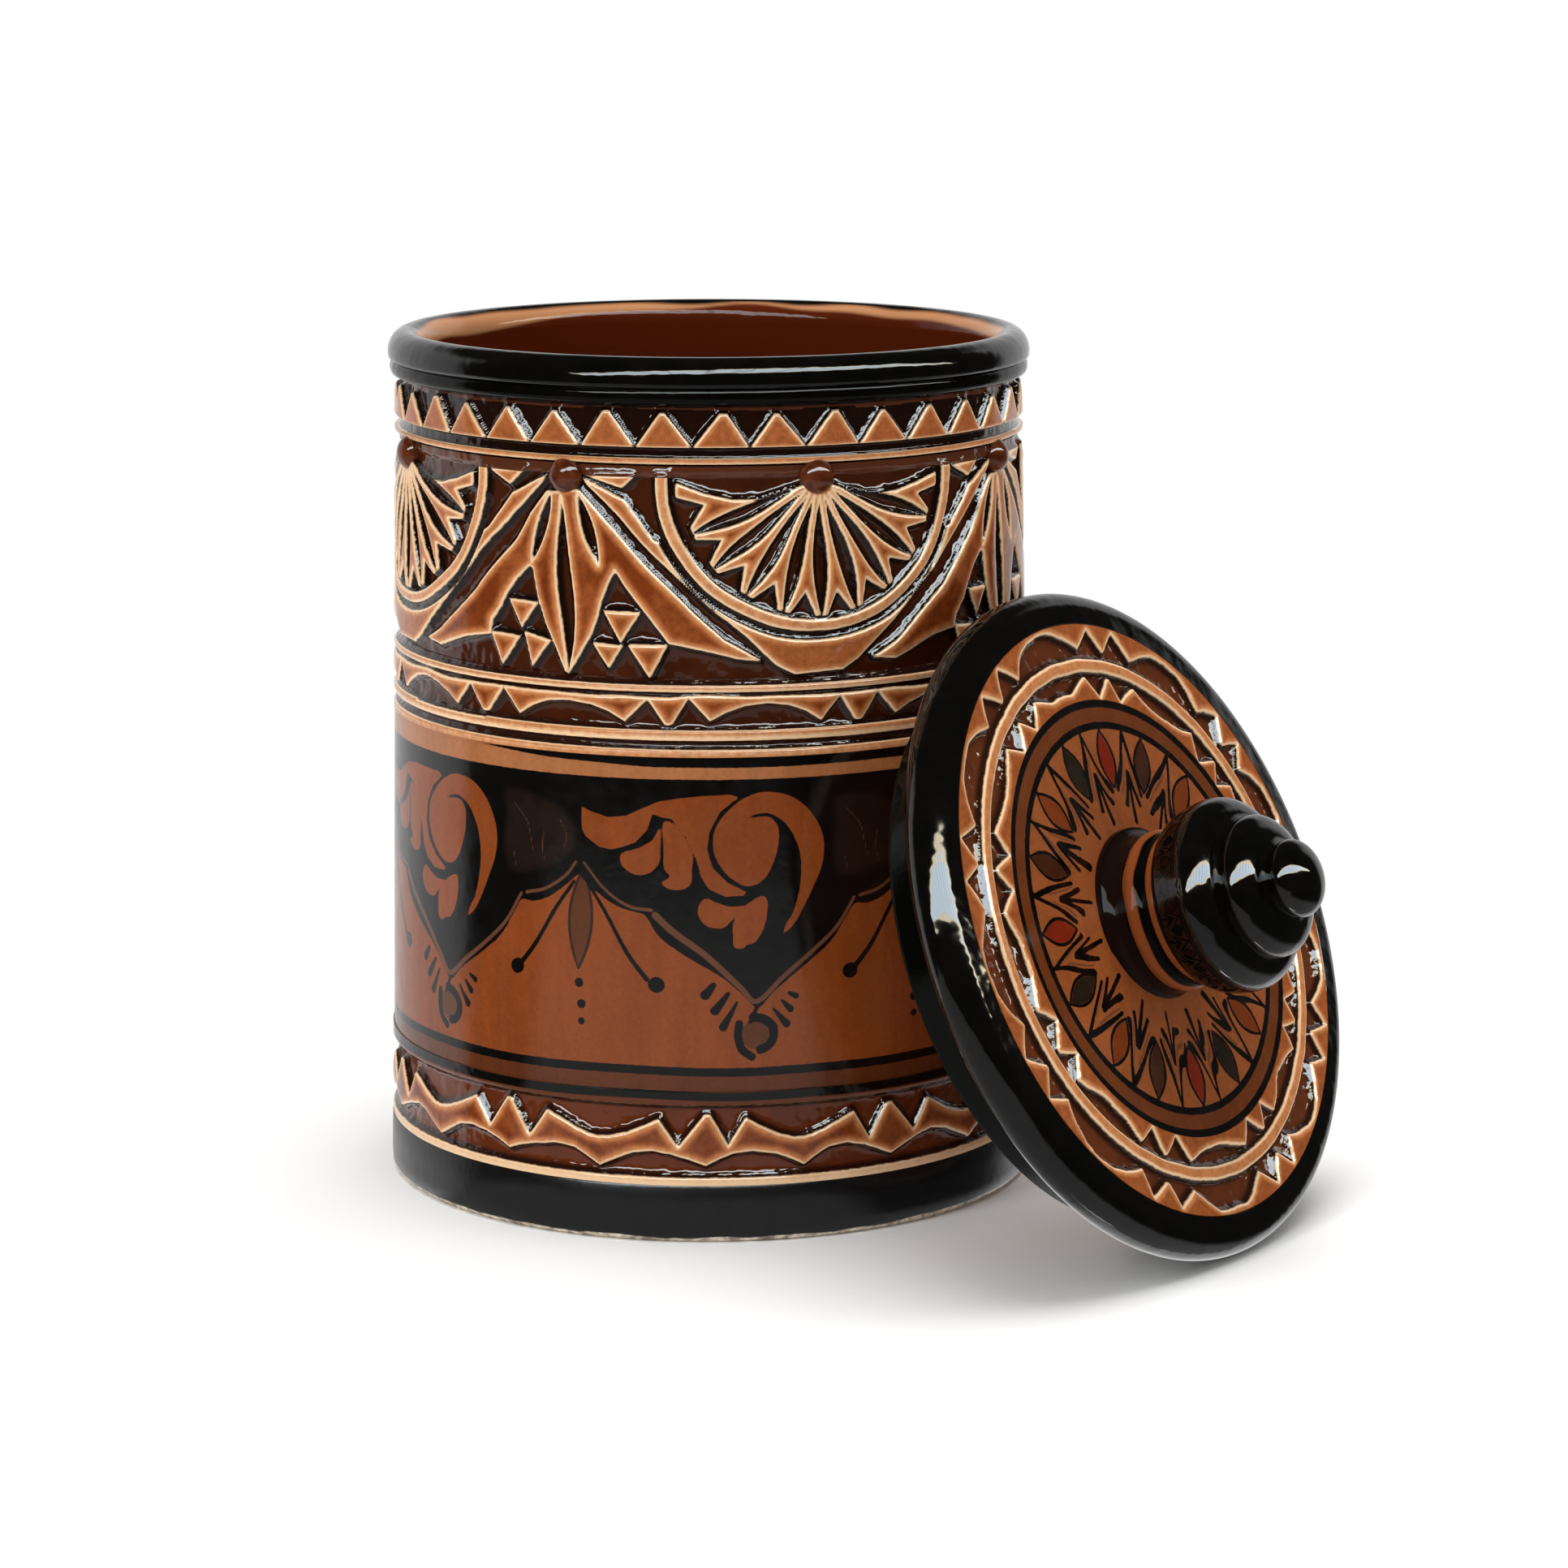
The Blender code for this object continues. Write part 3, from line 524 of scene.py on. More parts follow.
def cut_depth(gap, deepest):
    """Depth of a chip cut at a distance from the uncut edge: it falls off steeply, then levels out."""
    floor = deepest / MM
    fall = floor * np.tanh(CUT_STEEPNESS * np.maximum(gap, 0.0) / floor)
    return fall + WORN_DEPTH * np.exp(np.minimum(gap, 0.0) / WORN_WIDTH)


def either(*gaps):
    """Distance to shapes that are joined."""
    return reduce(np.minimum, gaps)


def both(*gaps):
    """Distance to the part that all of the shapes cover."""
    return reduce(np.maximum, gaps)


def without(gap, *holes):
    """Distance to a shape with others cut out of it."""
    return both(gap, *(-hole for hole in holes))


# ---- Node trees


def step(operation, swapped=False):
    """A method that adds a math node for a wire and another wire or number."""

    def method(self, other):
        return self.tree.math(operation, *((other, self) if swapped else (self, other)))

    return method


class Wire:
    """A node's output. Arithmetic on it adds math nodes to its tree."""

    __add__ = __radd__ = step("ADD")
    __mul__ = __rmul__ = step("MULTIPLY")
    __sub__, __rsub__ = step("SUBTRACT"), step("SUBTRACT", True)
    __truediv__, __rtruediv__ = step("DIVIDE"), step("DIVIDE", True)
    __mod__, at_least, at_most = step("MODULO"), step("MAXIMUM"), step("MINIMUM")

    def __init__(self, tree, socket):
        self.tree, self.socket = tree, socket

    def __neg__(self):
        return self * -1.0

    def __abs__(self):
        return self.tree.math("ABSOLUTE", self)


class Tree:
    """Puts nodes in a tree, with wires or plain values for their inputs."""

    def __init__(self, tree):
        self.tree = tree

    def give(self, socket, value):
        value = value.socket if isinstance(value, Wire) else value
        if isinstance(value, bpy.types.NodeSocket):
            self.tree.links.new(value, socket)
        else:
            socket.default_value = (*value[:3], 1.0) if socket.type == "RGBA" else value

    def node(self, kind, inputs=None, **settings):
        node = self.tree.nodes.new(kind)
        for key, value in settings.items():
            setattr(node, key, value)
        for key, value in (inputs or {}).items():
            self.give(node.inputs[key], value)
        return node

    def out(self, kind, inputs=None, output=0, **settings):
        """Adds a node, and gives back the wire from one of its outputs."""
        return Wire(self, self.node(kind, inputs, **settings).outputs[output])

    def math(self, operation, *values, clamp=False):
        return self.out("ShaderNodeMath", dict(enumerate(values)), operation=operation, use_clamp=clamp)

    def parts(self, vector):
        return [Wire(self, part) for part in self.node("ShaderNodeSeparateXYZ", {0: vector}).outputs]

    def vector(self, x, y, z):
        return self.out("ShaderNodeCombineXYZ", {0: x, 1: y, 2: z})

    def smooth(self, value, low, high, to_low=0.0, to_high=1.0):
        inputs = {"Value": value, "From Min": low, "From Max": high, "To Min": to_low, "To Max": to_high}
        return self.out("ShaderNodeMapRange", inputs, "Result", interpolation_type="SMOOTHSTEP")

    def between(self, value, low, high, blur):
        """1 between two limits, falling to 0 over the blur."""
        return self.smooth(value, low - blur, low + blur) * self.smooth(value, high + blur, high - blur)

    def blend(self, share, first, second):
        return self.out("ShaderNodeMix", {"Factor": share, 6: first, 7: second}, 2, data_type="RGBA")

    def mix(self, share, first, second):
        return self.out("ShaderNodeMixShader", {0: share, 1: first, 2: second})

    def layer(self, name):
        return self.out("ShaderNodeAttribute", output="Fac", attribute_name=name)

    def cover(self, colour, layers, blur):
        """Lays colours over a colour, each where its layer's distance is negative."""
        for layer, tone in layers:
            colour = self.blend(self.smooth(self.layer(layer), blur, -blur), colour, tone)
        return colour

    def noise(self, scale, detail=3.0, roughness=0.55, stretch=None):
        place = self.out("ShaderNodeTexCoord", output="Object")
        if stretch:
            place = self.out("ShaderNodeMapping", {"Vector": place, "Scale": stretch})
        inputs = {"Vector": place, "Scale": scale, "Detail": detail, "Roughness": roughness}
        return self.out("ShaderNodeTexNoise", inputs, "Fac")


def open_group(name, kind, inputs, outputs):
    """A new node group with named sockets: its tree, the wires from its inputs by name, and its end."""
    group = bpy.data.node_groups.new(name, kind)
    for label, sort, default in inputs:
        socket = group.interface.new_socket(label, in_out="INPUT", socket_type="NodeSocket" + sort)
        if default is not None:
            socket.default_value = default
    for label, sort in outputs:
        group.interface.new_socket(label, in_out="OUTPUT", socket_type="NodeSocket" + sort)
    tree = Tree(group)
    given = {socket.name: Wire(tree, socket) for socket in tree.node("NodeGroupInput").outputs}
    return tree, given, tree.node("NodeGroupOutput")


# ---- Glazes

WHITE = (1.0, 1.0, 1.0, 1.0)
GLAZE_IOR = 1.5


def tint(red, green, blue):
    """A colour picked on screen, 0 to 255, as the light values that a shader takes."""
    channels = []
    for value in (red, green, blue):
        share = value / 255.0
        channels.append(share / 12.92 if share <= 0.04045 else ((share + 0.055) / 1.055) ** 2.4)
    return (*channels, 1.0)


def scaled(tree, colour, level):
    return tree.out("ShaderNodeVectorMath", {0: colour, "Scale": level}, operation="SCALE")


def carved_glaze_group():
    """Honey glaze over a carved edge: pale where it breaks, dark where it pools."""
    tones = ("Pale", "Thin", "Middle", "Deep", "Pool", "Floor")
    tree, given, end = open_group(
        "honey_glaze_over_carving",
        "ShaderNodeTree",
        (("Edge", "Float", 0.0), *((tone, "Color", WHITE) for tone in tones)),
        (("Color", "Color"), ("Roughness", "Float"), ("Height", "Float")),
    )
    edge = given["Edge"] + (tree.noise(900.0, 2.0) * 0.24 - 0.12)
    broad, fine = tree.noise(150.0, 3.0), tree.noise(1500.0, 2.0, 0.7)
    heart = tree.smooth(edge, -0.8, -1.7) * tree.smooth(broad, 0.3, 0.55, 0.45, 1.0)
    body = tree.blend(heart, given["Middle"], given["Deep"])
    body = tree.blend(tree.smooth(edge, -1.15, -0.35), body, given["Thin"])
    mottle = tree.smooth(tree.noise(620.0, 4.0, 0.7) * 0.75 + fine * 0.25, 0.34, 0.7)
    body = scaled(tree, body, mottle * -0.42 + 1.2)
    thin = tree.smooth(edge, -0.46, -0.12) * tree.smooth(broad, 0.15, 0.5, 0.75, 1.0)
    body = tree.blend(thin, body, given["Pale"])
    body = tree.blend(tree.smooth(edge, -0.03, 0.18), body, given["Pool"])
    far = tree.smooth(edge, 0.4, 1.3) * tree.smooth(broad, 0.2, 0.6, 0.6, 1.0)
    facets = tree.noise(380.0, 0.0) * 2.0 + tree.noise(760.0, 0.0)
    pits = facets * tree.smooth(edge, 0.2, 0.6, 0.0, 0.9)
    tree.give(end.inputs["Color"], tree.blend(far, body, given["Floor"]))
    tree.give(end.inputs["Roughness"], tree.smooth(fine, 0.2, 0.8, 0.05, 0.11))
    tree.give(end.inputs["Height"], tree.noise(260.0, 2.0) + pits)


def brushed_paint_group():
    """Slip painting under the glaze: streaked, thinner and thicker, with soft brush edges."""
    tree, given, end = open_group(
        "brushed_slip",
        "ShaderNodeTree",
        (
            ("Base", "Color", WHITE), ("Ink", "Color", WHITE), ("Ink distance", "Float", 1.0),
            ("Softness", "Float", 0.07), ("Streaks", "Float", 0.5),
        ),
        (("Color", "Color"), ("Height", "Float")),
    )
    streaks = tree.noise(420.0, 4.0, 0.6, (1.0, 1.0, 0.12))
    specks, cloud = tree.noise(1300.0, 2.0, 0.7), tree.noise(60.0, 3.0)
    level = tree.smooth(streaks * 0.45 + specks * 0.4 + cloud * 0.4, 0.4, 0.84, 0.66, 1.34)
    ground = scaled(tree, given["Base"], (level - 1.0) * given["Streaks"] + 1.0)
    ragged = given["Ink distance"] + (tree.noise(1100.0, 2.0) * 0.2 - 0.1)
    inked = tree.smooth(ragged, -given["Softness"], given["Softness"], 1.0, 0.0)
    tree.give(end.inputs["Color"], tree.blend(inked, ground, given["Ink"]))
    tree.give(end.inputs["Height"], tree.noise(240.0, 2.0))


def glaze_material(name, roughness):
    """A Principled glaze, ready to be given its colour, with its tree and its shader."""
    material = bpy.data.materials.new(name)
    material.use_nodes = True
    shader = material.node_tree.nodes["Principled BSDF"]
    shader.inputs["Roughness"].default_value = roughness
    shader.inputs["IOR"].default_value = GLAZE_IOR
    return material, Tree(material.node_tree), shader


def dress_glaze(tree, shader, colour, ripples, strength, distance, roughness=None):
    """Gives a glaze its colour, the height of its ripples and, where it changes, its roughness."""
    tree.give(shader.inputs["Base Color"], colour)
    if roughness is not None:
        tree.give(shader.inputs["Roughness"], roughness)
    bump = {"Height": ripples, "Strength": strength, "Distance": distance}
    tree.give(shader.inputs["Normal"], tree.out("ShaderNodeBump", bump))


def carved_material(name, tones, covers=(), pool=None, floor=None):
    """Honey glaze over a relief, with layers of other colours over it."""
    material, tree, shader = glaze_material(name, 0.09)
    given = {
        "Edge": tree.layer("edge"), "Pale": tones.pale, "Thin": tones.thin, "Middle": tones.honey,
        "Deep": tones.deep_honey, "Pool": pool or tones.pool, "Floor": floor or tones.floor,
    }
    group = bpy.data.node_groups["honey_glaze_over_carving"]
    body = tree.node("ShaderNodeGroup", given, node_tree=group).outputs
    colour = tree.cover(body["Color"], covers, 0.08)
    dress_glaze(tree, shader, colour, body["Height"], 0.35, 0.0004, body["Roughness"])
    return material


def painted_material(name, tones, ground, under, over, washes=()):
    """Painted slip under the glaze. The layers lie under the ink, over it, or thinly over it."""
    material, tree, shader = glaze_material(name, 0.16)
    given = {"Base": tree.cover(ground, under, 0.07), "Ink": tones.ink, "Ink distance": tree.layer("ink")}
    body = tree.node("ShaderNodeGroup", given, node_tree=bpy.data.node_groups["brushed_slip"]).outputs
    colour = body["Color"]
    for layer, tone in washes:
        uneven = tree.smooth(tree.noise(200.0, 4.0), 0.25, 0.6, 0.3, 0.75)
        colour = tree.blend(tree.smooth(tree.layer(layer), 0.0, -1.6) * uneven, colour, tone)
    roughness = tree.smooth(tree.noise(300.0, 3.0), 0.3, 0.7, 0.1, 0.2)
    dress_glaze(tree, shader, tree.cover(colour, over, 0.1), body["Height"], 0.25, 0.0002, roughness)
    return material


def black_material(name, tones, roughness, covers=()):
    """Black glaze, brown where it thins, with layers of other colours over it."""
    material, tree, shader = glaze_material(name, roughness)
    colour = tree.blend(tree.smooth(tree.noise(220.0, 4.0), 0.35, 0.75), tones.black, tones.black_thin)
    rough = tree.smooth(tree.noise(500.0, 3.0), 0.3, 0.75, roughness, roughness * 1.8)
    dress_glaze(tree, shader, tree.cover(colour, covers, 0.12), tree.noise(160.0, 2.0), 0.45, 0.0004, rough)
    return material, tree, shader


# ---- Geometry node trees


def geometry_tree(name, inputs):
    inputs = (("Geometry", "Geometry", None), *inputs, ("Material", "Material", None))
    return open_group(name, "GeometryNodeTree", inputs, (("Geometry", "Geometry"),))


def finish_tree(tree, geometry, material, end):
    real = tree.out("GeometryNodeRealizeInstances", {"Geometry": geometry})
    dressed = tree.out("GeometryNodeSetMaterial", {"Geometry": real, "Material": material})
    tree.give(end.inputs["Geometry"], dressed)
    return tree.tree


def value_socket(sockets, kind):
    """The value socket of one kind, where a node has hidden ones of the same name."""
    return next(socket for socket in sockets if socket.name == "Value" and socket.type == kind)


def place_points(tree, geometry, position):
    """Moves the points of a grid to their places, and welds its two ends together."""
    moved = tree.out("GeometryNodeSetPosition", {"Geometry": geometry, "Position": position})
    return tree.out("GeometryNodeMergeByDistance", {"Geometry": moved, "Distance": WELD})


def grow(name, group, mesh, values):
    """Runs a tree on a mesh with its inputs set by name, and gives back the plain mesh that it makes."""
    item = bpy.data.objects.new(name, mesh)
    bpy.context.scene.collection.objects.link(item)
    modifier = item.modifiers.new(name, "NODES")
    modifier.node_group = group
    for socket in group.interface.items_tree:
        if socket.item_type == "SOCKET" and socket.in_out == "INPUT" and socket.name in values:
            modifier[socket.identifier] = values[socket.name]
    made = bpy.data.meshes.new_from_object(item.evaluated_get(bpy.context.evaluated_depsgraph_get()))
    bpy.data.objects.remove(item)
    return made


def turning_tree():
    """Turns a profile, drawn in X and Z, about the Z axis, with a thrower's slight unevenness."""
    inputs = (("Sides", "Int", 128), ("Unevenness", "Float", 0.0), ("Unevenness scale", "Float", 40.0))
    tree, given, end = geometry_tree("turned_profile", inputs)
    profile, sides = given["Geometry"], given["Sides"]
    count = tree.out("GeometryNodeAttributeDomainSize", {"Geometry": profile}, "Point Count")
    grid = tree.out("GeometryNodeMeshGrid", {"Vertices X": sides + 1.0, "Vertices Y": count})
    index = tree.out("GeometryNodeInputIndex")
    column = tree.math("FLOOR", (index + 0.5) / count)
    inputs = {"Geometry": profile, "Index": index - column * count}
    sample = tree.node("GeometryNodeSampleIndex", inputs, data_type="FLOAT_VECTOR")
    tree.give(value_socket(sample.inputs, "VECTOR"), tree.out("GeometryNodeInputPosition"))
    reach, _, height = tree.parts(value_socket(sample.outputs, "VECTOR"))
    angle = column / sides * math.tau
    east, south = tree.math("SINE", angle), -tree.math("COSINE", angle)
    inputs = {"Vector": tree.vector(east, south, height * 12.0), "Scale": 1.3, "Detail": 2.0}
    swing = (tree.out("ShaderNodeTexNoise", inputs, "Fac") - 0.5) * given["Unevenness"]
    radius = reach + swing * (reach * given["Unevenness scale"]).at_most(1.0)
    turned = place_points(tree, grid, tree.vector(radius * east, radius * south, height))
    return finish_tree(tree, turned, given["Material"], end)


def turned_mesh(name, profile, sides, material, unevenness=0.0):
    """A closed turned solid from a profile in millimetres. The unevenness is in metres."""
    line = bpy.data.meshes.new(name + "_profile")
    points = [(x * MM, 0.0, z * MM) for x, z in profile]
    line.from_pydata(points, [(i, i + 1) for i in range(len(points) - 1)], [])
    group = bpy.data.node_groups.get("turned_profile") or turning_tree()
    mesh = grow(name, group, line, {"Sides": sides, "Unevenness": unevenness, "Material": material})
    shape = bmesh.new()
    shape.from_mesh(mesh)
    bmesh.ops.remove_doubles(shape, verts=shape.verts, dist=WELD)
    bmesh.ops.dissolve_degenerate(shape, dist=WELD / 10, edges=shape.edges)
    bmesh.ops.recalc_face_normals(shape, faces=shape.faces)
    shape.to_mesh(mesh)
    shape.free()
    mesh.shade_smooth()
    mesh.set_sharp_from_angle(angle=TURNED_CREASE)
    return mesh


def tooth_tree():
    """A wall band with a row of hand-cut teeth over a groove and a ridge."""
    inputs = (
        ("Count", "Float", 36.0), ("Turn", "Float", 0.0), ("Foot", "Float", 126.0), ("Tip", "Float", 131.1),
        ("Tip width", "Float", 0.7), ("Foot gap", "Float", 0.4), ("Depth", "Float", 1.2),
        ("Bottom", "Float", TOOTH_BOTTOM), ("Top", "Float", WALL_TOP), ("Bottom radius", "Float", 51.5),
        ("Top radius", "Float", 51.3), ("Ridge", "Float", 123.75), ("Ridge width", "Float", 0.9),
        ("Columns", "Int", 1080), ("Rows", "Int", 36), ("Seed", "Int", 4),
    )
    tree, given, end = geometry_tree("tooth_row", inputs)
    size = {"Vertices X": given["Columns"], "Vertices Y": given["Rows"]}
    grid = tree.out("GeometryNodeMeshGrid", size)
    across, up, _ = tree.parts(tree.out("GeometryNodeInputPosition"))
    angle, share = (across + 0.5) * math.tau, up + 0.5
    height = share * (given["Top"] - given["Bottom"]) + given["Bottom"]
    radius = share * (given["Top radius"] - given["Bottom radius"]) + given["Bottom radius"]
    pitch = math.tau / given["Count"]
    phase = (angle - given["Turn"]) / pitch
    index = tree.math("ROUND", phase)
    tooth = (index + given["Count"]) % given["Count"]

    def pick(offset, spread):
        inputs = {2: -spread, 3: spread, "ID": tooth, "Seed": given["Seed"] + offset}
        return tree.out("FunctionNodeRandomValue", inputs, 1, data_type="FLOAT")

    above = height - given["Foot"]
    side = abs((phase - index) * pitch * radius + pick(0.0, 0.45) * (above / 5.0))
    foot_half = (pitch * radius - given["Foot gap"]) * 0.5
    tip_half = (given["Tip width"] + pick(1.0, 0.4)) * 0.5
    tip = given["Tip"] + pick(2.0, 0.3)
    climb = tree.math("DIVIDE", above, tip - given["Foot"], clamp=True)
    gap = (side - (climb * (tip_half - foot_half) + foot_half)) * 0.85
    gap = gap.at_least(height - tip).at_least(above * -3.0)
    beside = height - given["Ridge"]
    crest = (beside / given["Ridge width"] + 0.5) * -0.6 - 0.08
    gap = gap.at_most(((abs(beside) - given["Ridge width"] * 0.5) * 8.0).at_least(crest))
    fall = tree.math("TANH", gap.at_least(0.0) * 2.4 / given["Depth"]) * given["Depth"]
    shoulder = tree.math("EXPONENT", gap.at_most(0.0) / WORN_WIDTH) * WORN_DEPTH
    reach = (radius - (fall + shoulder)) * MM
    spot = tree.vector(reach * tree.math("SINE", angle), -(reach * tree.math("COSINE", angle)), height * MM)
    for name, value in (("edge", gap.at_most(0.6).at_least(-1.0)), ("recess", tip + 0.5 - height)):
        keep = tree.node("GeometryNodeStoreNamedAttribute", {"Geometry": grid, "Name": name}, data_type="FLOAT")
        tree.give(value_socket(keep.inputs, "VALUE"), value)
        grid = keep.outputs["Geometry"]
    return finish_tree(tree, place_points(tree, grid, spot), given["Material"], end)


def pellet_tree():
    """Flattened balls of clay in a ring round the shoulder."""
    inputs = (
        ("Count", "Int", 8), ("Turn", "Float", 0.0), ("Ring radius", "Float", 0.05),
        ("Height", "Float", 0.12), ("Radius", "Float", 0.0028), ("Flatness", "Float", 0.78),
    )
    tree, given, end = geometry_tree("pellet_ring", inputs)
    points = tree.out("GeometryNodePoints", {"Count": given["Count"]})
    angle = tree.out("GeometryNodeInputIndex") / given["Count"] * math.tau + given["Turn"]
    east = given["Ring radius"] * tree.math("SINE", angle)
    south = -(given["Ring radius"] * tree.math("COSINE", angle))
    spot = tree.vector(east, south, given["Height"])
    ring = tree.out("GeometryNodeSetPosition", {"Geometry": points, "Position": spot})
    ball = tree.out("GeometryNodeMeshUVSphere", {"Segments": 32, "Rings": 20, "Radius": given["Radius"]})
    flat = {"Geometry": ball, "Scale": tree.vector(1.0, given["Flatness"], 1.0)}
    inputs = {
        "Points": ring, "Instance": tree.out("GeometryNodeTransform", flat),
        "Rotation": tree.vector(0.0, 0.0, angle),
    }
    return finish_tree(tree, tree.out("GeometryNodeInstanceOnPoints", inputs), given["Material"], end)


# ---- Reliefs and paintings


def ring_grid(low, high, rows, columns):
    """Heights or radii from low to high, and angles all round, at each point of a ring."""
    angles = np.arange(columns) * math.tau / columns
    return np.broadcast_arrays(np.linspace(low, high, rows)[:, None], angles[None, :])


def dress_jar(item):
    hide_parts("jar_body")
    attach(item, "jar")


def dress_lid(item, node):
    item.data.transform(lid_matrix())
    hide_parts(node)
    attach(item, "lid")


def wall_band(name, heights, angles, depth, layers, material):
    """A band of relief round the jar's wall."""
    radius = (wall_radius(heights) - depth) * MM
    points = np.stack([radius * np.sin(angles), -radius * np.cos(angles), heights * MM], axis=-1)
    mesh = close_ring(ring_sheet(points, layers), sink_into_wall)
    dress_jar(new_object(name, mesh, material))


def lid_ring(name, radii, angles, depth, layers, material):
    """A ring of relief on the lid's face."""
    points = np.stack([radii * np.sin(angles), radii * np.cos(angles), LID_FACE - depth], axis=-1) * MM
    mesh = close_ring(ring_sheet(points, layers), sink_into_lid)
    dress_lid(new_object(name, mesh, material), "lid_plate")


def repeated(angles, turn, count):
    """The angle from the middle of the nearest of a pattern's repeats, in radians."""
    pitch = 360.0 / count
    return np.radians((np.degrees(angles) - turn + pitch / 2) % pitch - pitch / 2)


def fan_point(radius, turn):
    return (radius * math.sin(turn), -radius * math.cos(turn))


def fan_outline():
    """The fan's uncut ground: a wing under the top line, and a finger at the tip of each petal."""
    lean = FINGER_HALF_WIDTH / FINGER_RADIUS
    points = []
    for turn in reversed(PETAL_TURNS):
        points += [fan_point(FINGER_RADIUS, turn + lean), fan_point(FINGER_RADIUS, turn - lean)]
        points.append(fan_point(FINGER_NOTCH_RADIUS, turn - math.radians(PETAL_PITCH / 2)))
    return [*FAN_WING, *points[:-1], *((-x, y) for x, y in reversed(FAN_WING))]


def frieze_gap(angles, heights):
    """Distance to the uncut ground of the fans and tents."""
    x = repeated(angles, FAN_TURN, FAN_COUNT) * UNROLL_RADIUS + 0.22 * waves(angles, heights, 11, 24, 0.35)
    y = heights - FRIEZE_ORIGIN + 0.18 * waves(angles, heights, 12, 24, 0.35)
    petals = [
        leaf_gap(x, y, fan_point(PETAL_ROOT, turn), fan_point(PETAL_TIP, turn), PETAL_HALF_WIDTH, 1.25)
        for turn in PETAL_TURNS
    ]
    fan = without(shape_gap(x, y, fan_outline()), *petals)
    ring = both(without(oval_gap(x, y, RING_OUTER), oval_gap(x, y, RING_INNER)), y - 0.7, -0.4)
    swag = both(without(shape_gap(np.abs(x), y, SWAG), oval_gap(x, y, RING_GROOVE)), -1.0)
    tent_x = x - np.copysign(HALF_FRIEZE, x)
    tent = either(shape_gap(tent_x, y, TENT_RIGHT), shape_gap(tent_x, y, TENT_LEFT))
    side_cuts = leaf_gap(np.abs(tent_x), y, *TENT_SIDE_CUT)
    tent = without(tent, side_cuts, leaf_gap(tent_x, y, *TENT_MIDDLE_CUT, 1.15))
    return either(fan, ring, swag, tent, *(shape_gap(tent_x, y, chip) for chip in TENT_CHIPS))


def contour_gap(x, y, contour, keep_above):
    """Distance to ground on one side of a contour. The contour is drawn from a group's middle to its end."""
    reach, level = contour[-1][0] + 3.0, contour[-1][1]
    far = level + (60.0 if keep_above else -60.0)
    left = [(-place, height) for place, height in reversed(contour) if place > 0.0]
    line = [(-reach, far), (-reach, level), *left, *contour, (reach, level), (reach, far)]
    return shape_gap(x, y, line)


def chip_gap(angles, heights):
    x = folded(np.degrees(angles), CHIP_GROUPS, HALF_GROUP) + 0.2 * waves(angles, heights, 21, 30, 0.3)
    y = heights + 0.14 * waves(angles, heights, 22, 30, 0.3)
    uneven = heights + 0.1 * waves(angles, heights, 23, 9, 0.02)
    ridges = (ridge_gap(uneven, ridge, CHIP_RIDGE_FADE) for ridge in CHIP_RIDGES)
    return either(both(contour_gap(x, y, CHIP_CONTOUR, True), y - CHIP_TOP), *ridges)


def wave_gap(angles, heights):
    x = folded(np.degrees(angles), WAVE_GROUPS, HALF_GROUP) + 0.25 * waves(angles, heights, 31, 30, 0.3)
    y = heights + 0.22 * waves(angles, heights, 32, 30, 0.25)
    ground = both(contour_gap(x, y, WAVE_TOP, False), contour_gap(x, y, WAVE_BOTTOM, True))
    top = WAVE_TOP_EDGE - heights
    return either(ground, ridge_gap(heights, WAVE_RIDGE, WAVE_RIDGE_FADE), np.where(top < 0.0, -0.9, top))


def lid_gap(angles, radii):
    """Distance to the uncut ground of the lid's two rings of chips."""
    sway = 0.4 * waves(angles, radii, 71, 40, 0.3)
    lift = 0.14 * waves(angles, radii, 72, 40, 0.3)
    scale = math.radians(1.0) * LID_UNROLL_RADIUS
    x, y = (folded(np.degrees(angles), LID_GROUPS, LID_HALF_GROUP) + sway) * scale, radii + lift
    outer = contour_gap(x, y, [(turn * scale, radius) for turn, radius in LID_OUTER_CONTOUR], True)
    inner = contour_gap(x, y, [(turn * scale, radius) for turn, radius in LID_INNER_CONTOUR], False)
    return both(either(outer, inner, both(band_gap(radii + 0.3 * lift, LID_RING), -0.55)), -1.1)


def top_line_gap(angles, heights):
    """Distance to the black line over the orange stripe. It thins out and stops twice round the jar."""
    low, high = TOP_LINE
    thickness = (high - low) * np.clip(0.5 + 0.75 * np.cos(2 * angles - math.radians(30.0)), 0.0, 1.0)
    return both(high - thickness + 0.1 * waves(angles, heights, 43, 20, 0.05) - heights, heights - high)


